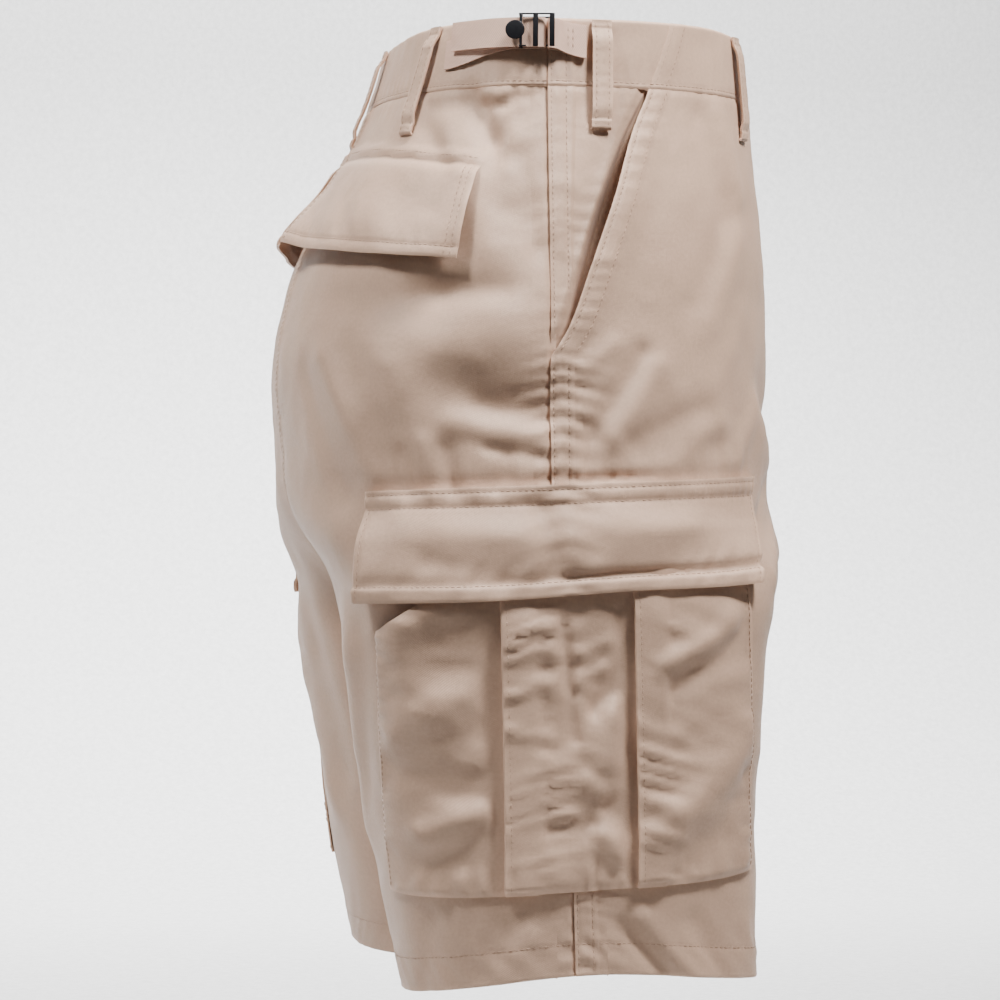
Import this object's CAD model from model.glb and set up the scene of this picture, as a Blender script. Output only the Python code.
"""Looks of the cargo shorts: cloth, sewing, trims, light and camera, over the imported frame.

Sizes are in millimetres until a mesh is made. A place on the cloth is (d, z): d is the distance along the
cloth from the side seam, positive to the front and negative to the back, and z is the height. Lift is the
distance out from the cloth's outer face. The front faces -Y and the wearer's right is -X.
"""

from __future__ import annotations

import logging
import math
from dataclasses import dataclass
from enum import Enum
from typing import Callable, NamedTuple, Sequence

import bmesh
import bpy
import numpy as np
from mathutils import Matrix, Vector

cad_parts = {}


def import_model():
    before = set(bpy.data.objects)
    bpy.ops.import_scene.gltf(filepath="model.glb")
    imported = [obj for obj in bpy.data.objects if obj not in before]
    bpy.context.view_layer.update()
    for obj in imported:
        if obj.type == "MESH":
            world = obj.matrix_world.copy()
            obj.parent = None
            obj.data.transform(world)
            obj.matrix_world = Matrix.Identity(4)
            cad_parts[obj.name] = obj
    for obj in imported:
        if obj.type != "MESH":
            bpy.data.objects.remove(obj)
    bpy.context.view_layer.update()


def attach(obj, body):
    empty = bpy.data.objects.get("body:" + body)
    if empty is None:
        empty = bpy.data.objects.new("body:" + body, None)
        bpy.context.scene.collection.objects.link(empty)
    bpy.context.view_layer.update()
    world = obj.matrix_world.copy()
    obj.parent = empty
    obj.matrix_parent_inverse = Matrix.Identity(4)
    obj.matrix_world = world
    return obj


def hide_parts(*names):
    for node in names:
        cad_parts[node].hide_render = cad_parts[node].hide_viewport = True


log = logging.getLogger("cargo_shorts")

MM = 0.001
BODY = "root"

Array = np.ndarray
Object = bpy.types.Object
Colour = tuple[float, float, float, float]
Triple = tuple[float, float, float]
Lift = Callable[[Array, Array], Array]


def smooth(x: Array | float, start: float, end: float) -> Array:
    """Return a smooth step that is 0 at the start and 1 at the end."""
    t = np.clip((np.asarray(x, float) - start) / (end - start), 0.0, 1.0)
    return t * t * (3.0 - 2.0 * t)


def bell(x: Array | float, width: float) -> Array:
    """Return a bump of height 1 at x = 0 that is gone by about twice its width."""
    return np.exp(-((np.asarray(x, float) / width) ** 2))


def grids(*values: Array | float) -> tuple[Array, ...]:
    """Return the values as arrays of one shape."""
    return tuple(np.broadcast_arrays(*(np.asarray(value, float) for value in values)))


def unit(vectors: Array) -> Array:
    """Return vectors at length 1."""
    return vectors / np.linalg.norm(vectors, axis=-1, keepdims=True)


def mix(start: Array | float, end: Array | float, share: Array | float) -> Array:
    """Return the value that lies the given share of the way from start to end."""
    return start + (end - start) * share


def stops(start: float, end: float, coarse: float, near: float = 0.0, far: float = 0.0,
          fine: float = 1.0) -> Array:
    """Return positions from start to end that lie closer together near the two ends.

    Args:
        start: first position.
        end: last position.
        coarse: the usual spacing.
        near: length of the fine stretch at the start.
        far: length of the fine stretch at the end.
        fine: spacing on the fine stretches.

    Returns:
        The positions in order.
    """
    length = abs(end - start)
    marks = [np.linspace(0.0, near, max(1, round(near / fine)) + 1)] if near else [np.zeros(1)]
    middle = length - near - far
    marks.append(np.linspace(near, near + middle, max(1, round(middle / coarse)) + 1)[1:])
    if far:
        marks.append(np.linspace(length - far, length, max(1, round(far / fine)) + 1)[1:])
    return start + np.concatenate(marks) * (1.0 if end > start else -1.0)


class Noise:
    """Seeded soft noise in two directions, from -1 to 1."""

    SIZE = 97
    ORIGIN = (31.0, 47.0)

    def __init__(self, seed: int) -> None:
        """Fill the lattice from a seed."""
        self.lattice = np.random.default_rng(seed).uniform(-1.0, 1.0, (self.SIZE, self.SIZE))

    def knot(self, column: Array, row: Array) -> Array:
        """Return the lattice's values, which repeat past its edges."""
        return self.lattice[column % self.SIZE, row % self.SIZE]

    def at(self, x: Array, y: Array | float, cell: float) -> Array:
        """Read the noise.

        Args:
            x: first coordinate.
            y: second coordinate.
            cell: size of the noise's lumps, in the coordinates' unit.

        Returns:
            Values from -1 to 1.
        """
        x, y = grids(x, y)
        x, y = x / cell + self.ORIGIN[0], y / cell + self.ORIGIN[1]
        column, row = np.floor(x).astype(int), np.floor(y).astype(int)
        across, down = smooth(x - column, 0, 1), smooth(y - row, 0, 1)
        first = mix(self.knot(column, row), self.knot(column + 1, row), across)
        second = mix(self.knot(column, row + 1), self.knot(column + 1, row + 1), across)
        return mix(first, second, down)


class Side(Enum):
    """The wearer's side that a piece is on."""

    RIGHT = "right"
    LEFT = "left"

    @property
    def sign(self) -> float:
        """Return what x is multiplied by: the form is built on the right."""
        return 1.0 if self is Side.RIGHT else -1.0

    @property
    def seed(self) -> int:
        """Return the seed of this side's small unevenness."""
        return 11 if self is Side.RIGHT else 53


@dataclass(frozen=True)
class Section:
    """A section of the right half: half width, y of the seam, front and back, and how square each is."""

    z: float
    side: float
    seam: float
    front: float
    back: float
    square_front: float
    square_back: float


@dataclass(frozen=True)
class Crease:
    """A soft fold from (d, z) to (d2, z2), a ridge where height is positive and a trough where it is not."""

    d: float
    z: float
    d2: float
    z2: float
    width: float
    height: float

    def relief(self, d: Array, z: Array) -> Array:
        """Return the height of the fold at places on the cloth."""
        run, drop = self.d2 - self.d, self.z2 - self.z
        t = np.clip(((d - self.d) * run + (z - self.z) * drop) / (run * run + drop * drop), 0.0, 1.0)
        away = np.hypot(d - self.d - t * run, z - self.z - t * drop)
        return self.height * bell(away, self.width)


@dataclass(frozen=True)
class Cut:
    """The driving dimensions that every piece shares, as in the part's source."""

    cloth: float = 1.2
    band_height: float = 38.0
    waist_dip: float = 4.5
    waist_dip_from: float = 90.0
    waist_dip_to: float = 200.0
    hem_z: float = -541.0
    hem_row: float = 17.0
    hem_rise: float = 14.0
    hem_rise_width: float = 95.0
    hem_tilt: float = 3.4
    hem_tilt_reach: float = 100.0
    hem_tilt_above: float = -490.0
    split_front_z: float = -278.0
    split_back_z: float = -255.0
    crotch_z: float = -335.0
    leg_gap: float = 11.0
    seam_gap: float = 0.3
    fell_half: float = 6.0
    fell_rows: tuple[float, float] = (-4.2, 4.2)
    centre_rows: tuple[float, float] = (2.0, 8.0)
    slash_foot_z: float = -190.0
    fly_end_z: float = -174.0
    fly_narrow: float = 24.0
    fly_lap: float = 10.0
    fly_underlap: float = 18.0
    fly_ramp: float = 18.0
    flap_top: float = -259.5
    flap_height: float = 61.0
    flap_slant: float = 0.035


CUT = Cut()

SECTIONS = (
    Section(0, 142, 28, -103, 101, 2.3, 2.2),
    Section(-38, 147, 29, -107, 113, 2.3, 2.2),
    Section(-95, 161, 31, -112, 140, 2.3, 2.2),
    Section(-150, 171, 32, -115, 162, 2.3, 2.2),
    Section(-195, 176, 33, -115, 169.5, 2.3, 2.2),
    Section(-245, 178, 33, -113, 166, 2.4, 2.3),
    Section(-300, 179, 31, -106, 152, 2.7, 2.4),
    Section(-345, 180, 28, -102, 143, 2.8, 2.5),
    Section(-400, 180, 25, -96, 134, 2.8, 2.5),
    Section(-460, 181, 22, -90, 124, 2.8, 2.5),
    Section(-541, 184, 20, -90, 109, 2.8, 2.5),
)

# The largest folds, which the solids have too. In each table a row's columns are those of a Crease.
FOLDS = (
    (-16, -216, -62, -196, 20, -4.5),
    (-30, -170, -120, -215, 22, 3),
    (-70, -158, -140, -160, 16, -3),
    (-150, -286, -225, -268, 20, 4),
    (-150, -318, -250, -306, 18, -4),
    (-52, -44, -34, -78, 9, -3),
    (238, -272, 165, -232, 15, 3.5),
    (236, -246, 168, -204, 14, -3),
    (262, -345, 190, -312, 16, 3.5),
    (20, -243, 96, -238, 10, -3),
)

# Finer creases, read off the photograph's side and shifted a little on the other side
CREASES = (
    (-82, -47, -52, -46, 5, -1.0),
    (-49, -41, -45, -47, 2.8, -0.8),
    (-45, -47.5, -31, -49, 3.0, -1.0),
    (-31, -48, -25, -42, 2.8, -0.8),
    (-42, -41, -32, -41, 6, 0.8),
    (-27, -46, -11, -42, 4, -1.0),
    (-45, -50, -38, -68, 6, -1.1),
    (-38, -68, -14, -50, 6, -0.9),
    (-64, -60, -58, -84, 9, 0.9),
    (-28, -62, -30, -84, 6, 0.8),
    (-86, -58, -66, -82, 8, -1.3),
    (-22, -78, -16, -112, 7, -1.0),
    (-26, -110, -13, -130, 8, -1.3),
    (-52, -92, -40, -128, 10, 1.2),
    (-34, -153, -84, -153, 8, -1.8),
    (-30, -178, -78, -182, 20, 0.9),
    (-22, -206, -60, -190, 14, 1.4),
    (-12, -222, -44, -216, 9, -1.5),
    (-10, -205, -26, -209, 4, -0.7),
    (-12, -232, -62, -226, 7, 1.5),
    (-12, -244, -40, -240, 4, -1.2),
    (-136, -182, -96, -242, 12, -1.5),
    (-158, -188, -114, -254, 10, 1.5),
    (-182, -196, -140, -266, 10, -1.3),
    (-60, -264, -64, -240, 4.6, -1.0),
    (-72, -264, -78, -236, 5.0, 0.9),
    (-86, -264, -94, -242, 4.8, -1.0),
    (-48, -264, -46, -244, 4.4, 0.8),
    (-36, -262, -31, -246, 4.2, -0.9),
    (47, -187, 17, -232, 6, -1.5),
    (58, -194, 30, -236, 7, 1.2),
    (90, -217, 42, -236, 8, -1.6),
    (104, -226, 62, -248, 8, 1.1),
    (30, -241, 92, -237, 10, 1.0),
    (12, -226, 25, -236, 4, -0.8),
    (12, -206, 24, -209, 4, -0.6),
    (12, -196, 30, -183, 5, 0.7),
    (128, -168, 96, -212, 12, 0.9),
    (92, -52, 112, -108, 10, -1.6),
    (106, -50, 128, -96, 9, 1.4),
    (122, -120, 96, -168, 12, 1.3),
    (110, -118, 84, -160, 10, -1.2),
    (150, -214, 118, -248, 9, 1.4),
    (196, -60, 206, -120, 11, -1.2),
    (196, -258, 150, -286, 8, -1.6),
    (206, -286, 150, -312, 8, 1.8),
    (240, -318, 176, -348, 9, -1.8),
    (-132, -336, -150, -420, 14, -1.8),
    (-150, -352, -172, -452, 12, 1.8),
    (-190, -340, -196, -430, 16, -2.2),
    (-226, -350, -216, -440, 14, 1.8),
    (150, -350, 158, -440, 16, -1.8),
    (182, -360, 176, -470, 15, 1.6),
    (214, -350, 226, -450, 16, -1.8),
    (20, -500, 52, -536, 6, -1.8),
    (32, -496, 66, -534, 6, 1.8),
    (64, -500, 88, -536, 7, -1.5),
    (-30, -506, -52, -536, 8, 1.2),
    (-92, -500, -104, -538, 9, -1.4),
    (104, -506, 118, -538, 7, 1.2),
)

# Creases in the cargo pocket's flap, with heights from its top edge
FLAP_CREASES = (
    (-88, -18, -30, -26, 9, 1.6),
    (-14, -12, -8, -46, 7, -2.0),
    (4, -14, 6, -44, 8, 1.4),
    (-74, -40, -40, -48, 7, -1.6),
    (26, -20, 84, -34, 10, 1.4),
    (60, -42, 118, -24, 10, -1.2),
)

# Creases in the cargo pocket's three sections, from the back
POCKET_CREASES = (
    ((-43, -345, -43, -425, 6, -2.8),
     (-92, -348, -74, -384, 17, 2.6),
     (-98, -396, -58, -374, 11, 2.2),
     (-102, -416, -48, -428, 11, -2.8),
     (-78, -452, -50, -440, 9, 3.2),
     (-102, -474, -44, -464, 10, -2.4)),
    ((38, -358, 12, -382, 6, -3.4),
     (31, -330, 31, -478, 5, -2.6),
     (24, -384, 18, -412, 12, 3.6),
     (20, -440, 36, -438, 6, -2.8),
     (14, -455, 26, -468, 9, 3.4),
     (4, -424, 12, -428, 6, 2.2),
     (-28, -454, 8, -451, 7, -2.0),
     (-5, -336, -2, -398, 4, -1.6),
     (-35, -339, -10, -337, 3.2, 1.3),
     (-35, -347, -12, -349, 3.2, 1.3),
     (-35, -356, -8, -353, 3.2, 1.4),
     (-35, -365, -10, -368, 3.4, 1.4),
     (-35, -374, -14, -372, 3.2, 1.2),
     (-35, -394, -16, -398, 4.0, 1.4),
     (-35, -406, -18, -408, 3.6, 1.2),
     (4, -352, 20, -346, 4.0, 1.3),
     (2, -366, 18, -360, 4.0, 1.2)),
    ((50, -362, 92, -336, 7, 2.8),
     (48, -376, 97, -350, 8, -2.8),
     (48, -457, 102, -398, 13, 2.8),
     (60, -478, 106, -428, 13, -2.4)),
)

# The slash pocket's edge, as heights and distances from the side seam
SLASH_Z = (4, -42, -62, -100, -139, -174, -190)
SLASH_D = (70, 52, 42.5, 30, 16, 3.6, -6)


def monotone(xs: Sequence[float], ys: Sequence[float], x: Array | float) -> Array:
    """Read a smooth curve through points, falling in x, that never overshoots them.

    Args:
        xs: falling positions.
        ys: values there.
        x: where the curve is read.

    Returns:
        The curve's values.
    """
    knots, values = -np.asarray(xs, float), np.asarray(ys, float)
    widths = np.diff(knots)
    slopes = np.diff(values) / widths
    tangents = np.zeros_like(values)
    tangents[0], tangents[-1] = slopes[0], slopes[-1]
    for i in range(1, len(values) - 1):
        before, after = slopes[i - 1], slopes[i]
        if before * after > 0:
            left, right = 2 * widths[i] + widths[i - 1], widths[i] + 2 * widths[i - 1]
            tangents[i] = (left + right) / (left / before + right / after)
    place = np.clip(-np.asarray(x, float), knots[0], knots[-1])
    i = np.clip(np.searchsorted(knots, place, side="right") - 1, 0, len(widths) - 1)
    t = (place - knots[i]) / widths[i]
    rise = values[i] * (1 + 2 * t) * (1 - t) ** 2 + values[i + 1] * t * t * (3 - 2 * t)
    return rise + widths[i] * t * (1 - t) * (tangents[i] * (1 - t) - tangents[i + 1] * t)


def profile(name: str, z: Array | float) -> Array:
    """Return one measure of the sections at a height."""
    return monotone([section.z for section in SECTIONS], [getattr(section, name) for section in SECTIONS], z)


def slash_edge(z: Array | float) -> Array:
    """Return the slash pocket's edge as a distance from the side seam."""
    return monotone(SLASH_Z, SLASH_D, z)


def waist_top(d: Array | float) -> Array:
    """Return the height of the waistband's top edge, which dips a little at the front and back."""
    return -CUT.waist_dip * smooth(np.abs(d), CUT.waist_dip_from, CUT.waist_dip_to)


def ripple(along: Array, spacing: float, noise: Noise, row: float = 0.0) -> Array:
    """Return the uneven ripple of cloth drawn up by a row of stitches, from 0 to 1.

    Args:
        along: distance along the seam.
        spacing: usual length of a ripple.
        noise: what makes it uneven.
        row: a number that tells this seam from others.

    Returns:
        Values from 0 to 1.
    """
    phase = along / spacing + 0.9 * noise.at(along, row * 7.0, 2.2 * spacing)
    strength = 0.55 + 0.45 * noise.at(along + 500.0, row * 7.0 + 3.0, 1.7 * spacing)
    return strength * (0.5 - 0.5 * np.cos(2 * math.pi * phase))


class Form:
    """The hollow form of the right half that all the cloth lies on."""

    TOP = 12.0
    FOOT = -572.0
    LEVEL_STEP = 1.5
    NORMAL_STEP = 2.0
    SHARES = 200
    STRENGTH = 1.5
    FLY_FOOT_Z = -305.0
    FLY_FOOT_REACH = 27.0
    FLY_FOOT_HALF_WIDTH = 58.0
    FLY_FOOT_ABOVE = 52.0
    FLY_FOOT_BELOW = 78.0
    FLY_FOOT_INNER_FADE = 0.75

    def __init__(self, side: Side) -> None:
        """Work out the sections at close levels.

        Args:
            side: whose unevenness the form has.
        """
        self.side = side
        self.noise = Noise(side.seed)
        shift = np.random.default_rng(side.seed + 1)
        self.creases = [self.shifted(Crease(*row), shift) for row in CREASES]
        self.levels = np.arange(self.TOP, self.FOOT, -self.LEVEL_STEP)
        rings = [[self.ring(z, front) for z in self.levels] for front in (False, True)]
        self.points = np.array([[points for points, _ in row] for row in rings])
        self.lengths = np.array([[length for _, length in row] for row in rings])

    def shifted(self, crease: Crease, random: np.random.Generator) -> Crease:
        """Fit a crease to this side: it stays on the right, and is moved and weakened on the left.

        Args:
            crease: the crease as the right side has it.
            random: what moves it.

        Returns:
            This side's crease.
        """
        if self.side is Side.RIGHT:
            return crease
        move = random.uniform(-7, 7, 4)
        return Crease(crease.d + move[0], crease.z + move[1], crease.d2 + move[2], crease.z2 + move[3],
                      crease.width * random.uniform(0.9, 1.2), crease.height * random.uniform(0.6, 1.1))

    def ring(self, z: float, front: bool) -> tuple[Array, float]:
        """Work out one section, from the side seam to the middle or the inseam.

        Args:
            z: its height.
            front: whether it is the front quarter.

        Returns:
            Its points at equal shares of its length, and its length.
        """
        side, seam = float(profile("side", z)), float(profile("seam", z))
        depth = float(profile("front" if front else "back", z)) - seam
        power = float(profile("square_front" if front else "square_back", z))
        split = float(smooth(z, CUT.split_front_z if front else CUT.split_back_z, CUT.crotch_z))
        down = min(1.0, max(0.0, (CUT.crotch_z - z) / (CUT.crotch_z - CUT.hem_z)))
        gap = mix(CUT.seam_gap / 2, CUT.leg_gap, down)
        half, centre = side / (1 + split), split * side / (1 + split)
        if split >= 1:
            half, centre = (side - gap) / 2, (side + gap) / 2
        angle = np.linspace(0.0, math.acos(-(split ** (power / 2))), 4 * self.SHARES)
        across = np.sign(np.cos(angle)) * np.abs(np.cos(angle)) ** (2 / power)
        x = -(centre + half * across)
        facing = np.abs(np.sin(angle))
        y = seam + depth * facing ** (2 / power)
        if front:
            y = y - self.fly_foot(x, z, facing)
        along = np.concatenate([[0.0], np.cumsum(np.hypot(np.diff(x), np.diff(y)))])
        even = np.linspace(0.0, along[-1], self.SHARES + 1)
        points = np.stack([np.interp(even, along, x), np.interp(even, along, y), np.full_like(even, z)], -1)
        return points, float(along[-1])

    def fly_foot(self, x: Array, z: float, facing: Array) -> Array:
        """Work out the fullness of the cloth round the foot of the fly.

        Args:
            x: places across a section.
            z: the section's height.
            facing: how far each place faces the front, from 0 to 1.

        Returns:
            How far the cloth stands out to the front.
        """
        spread = self.FLY_FOOT_ABOVE if z > self.FLY_FOOT_Z else self.FLY_FOOT_BELOW
        fall = smooth(1 - abs(z - self.FLY_FOOT_Z) / spread, 0, 1)
        fade = fall * smooth(facing, 0, self.FLY_FOOT_INNER_FADE)
        return self.FLY_FOOT_REACH * fade * bell(x, self.FLY_FOOT_HALF_WIDTH)

    def length(self, z: Array | float, front: bool) -> Array:
        """Return the distance along the cloth from the side seam to the middle or the inseam."""
        return np.interp(-np.asarray(z, float), -self.levels, self.lengths[int(front)])

    def quarter(self, z: Array, front: Array) -> Array:
        """Return that distance where some places are on the front and some on the back."""
        return np.where(front, self.length(z, True), self.length(z, False))

    def section_point(self, d: Array, z: Array) -> Array:
        """Place points on the plain form, which runs on past the middle and round a leg.

        Args:
            d, z: places on the cloth.

        Returns:
            Points in millimetres, on the right half.
        """
        d, z = grids(d, z)
        front = d >= 0
        length = self.quarter(z, front)
        over = np.abs(d) - length
        round_leg = (over > 0) & (z <= CUT.crotch_z)
        front = front ^ round_leg
        length = self.quarter(z, front)
        share = np.clip(np.where(over > 0, length - over, np.abs(d)) / length, 0.0, 1.0) * self.SHARES
        level = np.clip((self.levels[0] - z) / self.LEVEL_STEP, 0.0, len(self.levels) - 1.001)
        i, k = np.minimum(share.astype(int), self.SHARES - 1), level.astype(int)
        u, v = (share - i)[..., None], (level - k)[..., None]
        half = front.astype(int)
        upper = mix(self.points[half, k, i], self.points[half, k, i + 1], u)
        lower = mix(self.points[half, k + 1, i], self.points[half, k + 1, i + 1], u)
        points = mix(upper, lower, v)
        points[..., 0] = np.where((over > 0) & ~round_leg, -points[..., 0], points[..., 0])
        return points

    def outward(self, d: Array, z: Array) -> Array:
        """Work out which way the plain form faces.

        Args:
            d, z: places on the cloth.

        Returns:
            Directions of length 1.
        """
        d, z = grids(d, z)
        front = d >= 0
        share = np.clip(np.abs(d) / self.quarter(z, front), 0.0, 1.0) * np.where(front, 1.0, -1.0)
        step = self.NORMAL_STEP
        along = self.section_point(d + step, z) - self.section_point(d - step, z)
        above = self.section_point(share * self.quarter(z + step, front), z + step)
        below = self.section_point(share * self.quarter(z - step, front), z - step)
        return unit(np.cross(along, above - below))

    def relief(self, d: Array, z: Array) -> Array:
        """Add up every fold, crease and pucker that lies in the form itself.

        Args:
            d, z: places on the cloth.

        Returns:
            Heights above the plain form.
        """
        height = sum(Crease(*row).relief(d, z) for row in FOLDS)
        height += self.STRENGTH * sum(crease.relief(d, z) for crease in self.creases)
        calm = 0.3 + 0.7 * smooth(z, -CUT.band_height, -CUT.band_height - 14)
        lumps = (0.9 * self.noise.at(d, z * 0.7, 42) + 0.45 * self.noise.at(d + 90, z, 17)
                 + 0.16 * self.noise.at(d, z + 60, 7))
        height += calm * lumps
        below = smooth(z, -CUT.band_height - 6, -CUT.band_height - 30)
        drawn = (0.8 + 1.25 * bell(z + 214, 34) + 0.5 * bell(z + 520, 26)) * below
        gathers = ripple(z + 0.25 * np.abs(d), 9.5, self.noise) - 0.4
        return height + drawn * bell(np.abs(d) - 3.0, 15) * gathers

    def raised(self, d: Array, z: Array) -> Array:
        """Raise heights near the hem, to the side seam and to the front or the back.

        Args:
            d: distances from the side seam.
            z: heights as the cloth is cut.

        Returns:
            Heights as it hangs.
        """
        rise = CUT.hem_rise * bell(d, CUT.hem_rise_width) * smooth(z, -400, CUT.hem_z)
        forward = (profile("seam", z) - self.section_point(d, z)[..., 1]) / CUT.hem_tilt_reach
        tilt = self.side.sign * CUT.hem_tilt * forward * smooth(z, CUT.hem_tilt_above, CUT.hem_z)
        return z + rise + tilt

    def cloth(self, d: Array, z: Array, lift: Array | float = 0.0) -> tuple[Array, Array]:
        """Place cloth on the form.

        Args:
            d, z: places on the cloth.
            lift: distances out from the outer face.

        Returns:
            Points in metres on this side of the shorts, and the outward directions there.
        """
        d, z = grids(d, z)
        level = self.raised(d, z)
        out = self.outward(d, level)
        point = self.section_point(d, level) + out * (lift + self.relief(d, level))[..., None]
        mirror = np.array([self.side.sign, 1.0, 1.0])
        return point * mirror * MM, out * mirror


FORMS = {side: Form(side) for side in Side}


class CentreBack:
    """The strip of cloth over the centre back, which lies on both sides' forms."""

    def cloth(self, d: Array, z: Array, lift: Array | float = 0.0) -> tuple[Array, Array]:
        """Place cloth over the centre back.

        Args:
            d: distances from the centre back, positive towards the wearer's right.
            z: heights.
            lift: distances out from the outer face.

        Returns:
            Points in metres, and the outward directions there.
        """
        right, left = FORMS[Side.RIGHT], FORMS[Side.LEFT]
        back = np.abs(d) - right.length(z, False)
        here, there = right.cloth(back, z, lift), left.cloth(back, z, lift)
        share = smooth(d, -0.8, 0.8)[..., None]
        return tuple(mix(b, a, share) for a, b in zip(here, there))


# Finishes


class NodeTree:
    """A short way to write a node tree."""

    def __init__(self, tree: bpy.types.NodeTree) -> None:
        """Keep the tree that is written to."""
        self.tree = tree

    def add(self, kind: str, settings: dict | None = None, **inputs) -> bpy.types.Node:
        """Add a node.

        Args:
            kind: the node's type, without its ShaderNode prefix.
            settings: properties of the node.
            **inputs: values or sockets by input name, with underscores for spaces, or i and a number.

        Returns:
            The node.
        """
        node = self.tree.nodes.new(kind if kind.startswith("Node") else f"ShaderNode{kind}")
        for name, value in (settings or {}).items():
            setattr(node, name, value)
        for name, value in inputs.items():
            numbered = name[0] == "i" and name[1:].isdigit()
            self.link(value, node.inputs[int(name[1:]) if numbered else name.replace("_", " ")])
        return node

    def link(self, value: object, socket: bpy.types.NodeSocket) -> None:
        """Set a socket, or join another node's output to it.

        Args:
            value: a plain value, a node's socket, or a node, whose first output is meant.
            socket: the input that takes it.
        """
        if isinstance(value, bpy.types.NodeSocket):
            self.tree.links.new(value, socket)
        elif isinstance(value, bpy.types.Node):
            self.tree.links.new(value.outputs[0], socket)
        else:
            socket.default_value = value

    def math(self, operation: str, *values: object) -> bpy.types.Node:
        """Add a Math node with its values in order."""
        return self.add("Math", {"operation": operation}, **{f"i{i}": v for i, v in enumerate(values)})


def colour(red: int, green: int, blue: int) -> Colour:
    """Return a screen colour from 11 to 255 as the linear values that a shader takes."""
    return (*(((value / 255 + 0.055) / 1.055) ** 2.4 for value in (red, green, blue)), 1.0)


def new_group(name: str, inputs: dict[str, tuple[str, object]], outputs: dict[str, str]
              ) -> tuple[bpy.types.NodeTree, NodeTree, bpy.types.Node, bpy.types.Node]:
    """Start a shader node group.

    Args:
        name: its name.
        inputs: socket type and default value by input name.
        outputs: socket type by output name.

    Returns:
        The group, a writer for it, and its input and output nodes.
    """
    group = bpy.data.node_groups.new(name, "ShaderNodeTree")
    for key, (kind, value) in inputs.items():
        socket = group.interface.new_socket(key, in_out="INPUT", socket_type=f"NodeSocket{kind}")
        if value is not None:
            socket.default_value = value
    for key, kind in outputs.items():
        group.interface.new_socket(key, in_out="OUTPUT", socket_type=f"NodeSocket{kind}")
    writer = NodeTree(group)
    return group, writer, writer.add("NodeGroupInput"), writer.add("NodeGroupOutput")


def new_material(name: str) -> tuple[bpy.types.Material, NodeTree, bpy.types.Node]:
    """Start a material.

    Args:
        name: its name.

    Returns:
        The material, a writer for its tree, and its shader.
    """
    material = bpy.data.materials.new(name)
    material.use_nodes = True
    return material, NodeTree(material.node_tree), material.node_tree.nodes["Principled BSDF"]


def twill_group() -> bpy.types.NodeTree:
    """Build the twill: fine diagonal ribs crossed by uneven yarns, in the cloth's own coordinates.

    Returns:
        The group, which gives the height of the ribs and how pale they are.
    """
    group, w, inside, out = new_group(
        "twill_weave", {"Vector": ("Vector", None), "Pitch": ("Float", 0.6), "Slub": ("Float", 0.3)},
        {"Height": "Float", "Tone": "Float"})
    place = w.add("Mapping", {"vector_type": "POINT"}, Vector=inside.outputs["Vector"],
                  Scale=(1 / MM, 1 / MM, 1 / MM))
    parts = w.add("SeparateXYZ", i0=place)
    slanted = w.math("ADD", w.math("MULTIPLY", parts.outputs[0], 0.9),
                     w.math("MULTIPLY", parts.outputs[1], 0.55))
    wave = w.math("DIVIDE", slanted, inside.outputs["Pitch"])
    rib = w.math("MULTIPLY_ADD", w.math("SINE", w.math("MULTIPLY", wave, 2 * math.pi)), 0.5, 0.5)
    stretched = w.add("Mapping", Vector=place, Scale=(1.1, 0.22, 1.0))
    yarn = w.add("TexNoise", Vector=stretched, Scale=1.3, Detail=2.0, Roughness=0.6)
    thick = w.math("MULTIPLY", w.math("SUBTRACT", yarn.outputs["Fac"], 0.5), inside.outputs["Slub"])
    w.link(w.math("ADD", rib, thick), out.inputs["Height"])
    w.link(w.math("MULTIPLY_ADD", thick, 0.6, w.math("MULTIPLY_ADD", rib, 0.12, 0.44)), out.inputs["Tone"])
    return group


def wear_group() -> bpy.types.NodeTree:
    """Build the cloth's unevenness of colour: soft clouds, a fine mottle, and what wear leaves.

    Returns:
        The group. Its Rub input pales the cloth where it is positive, as at rubbed edges, and deepens it
        where it is negative, as where cloth is shielded from wear.
    """
    group, w, inside, out = new_group(
        "cloth_wear", {"Vector": ("Vector", None), "Base": ("Color", (0.5, 0.4, 0.3, 1)),
                       "Tone": ("Float", 0.5), "Rub": ("Float", 0.0), "Contrast": ("Float", 0.1)},
        {"Color": "Color", "Fine": "Float"})
    clouds = w.add("TexNoise", Vector=inside.outputs["Vector"], Scale=14.0, Detail=3.0, Roughness=0.55)
    mottle = w.add("TexNoise", Vector=inside.outputs["Vector"], Scale=420.0, Detail=2.0, Roughness=0.6)
    tone = w.math("ADD", w.math("SUBTRACT", clouds.outputs["Fac"], 0.5),
                  w.math("MULTIPLY", w.math("SUBTRACT", mottle.outputs["Fac"], 0.5), 0.7))
    tone = w.math("ADD", tone, w.math("SUBTRACT", inside.outputs["Tone"], 0.5))
    shade = w.math("ADD", w.math("MULTIPLY", tone, inside.outputs["Contrast"]), 1.0)
    shade = w.math("ADD", shade, w.math("MULTIPLY", inside.outputs["Rub"], 0.16))
    tinted = w.add("VectorMath", {"operation": "SCALE"}, i0=inside.outputs["Base"], Scale=shade)
    w.link(tinted.outputs[0], out.inputs["Color"])
    w.link(mottle.outputs["Fac"], out.inputs["Fine"])
    return group


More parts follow.
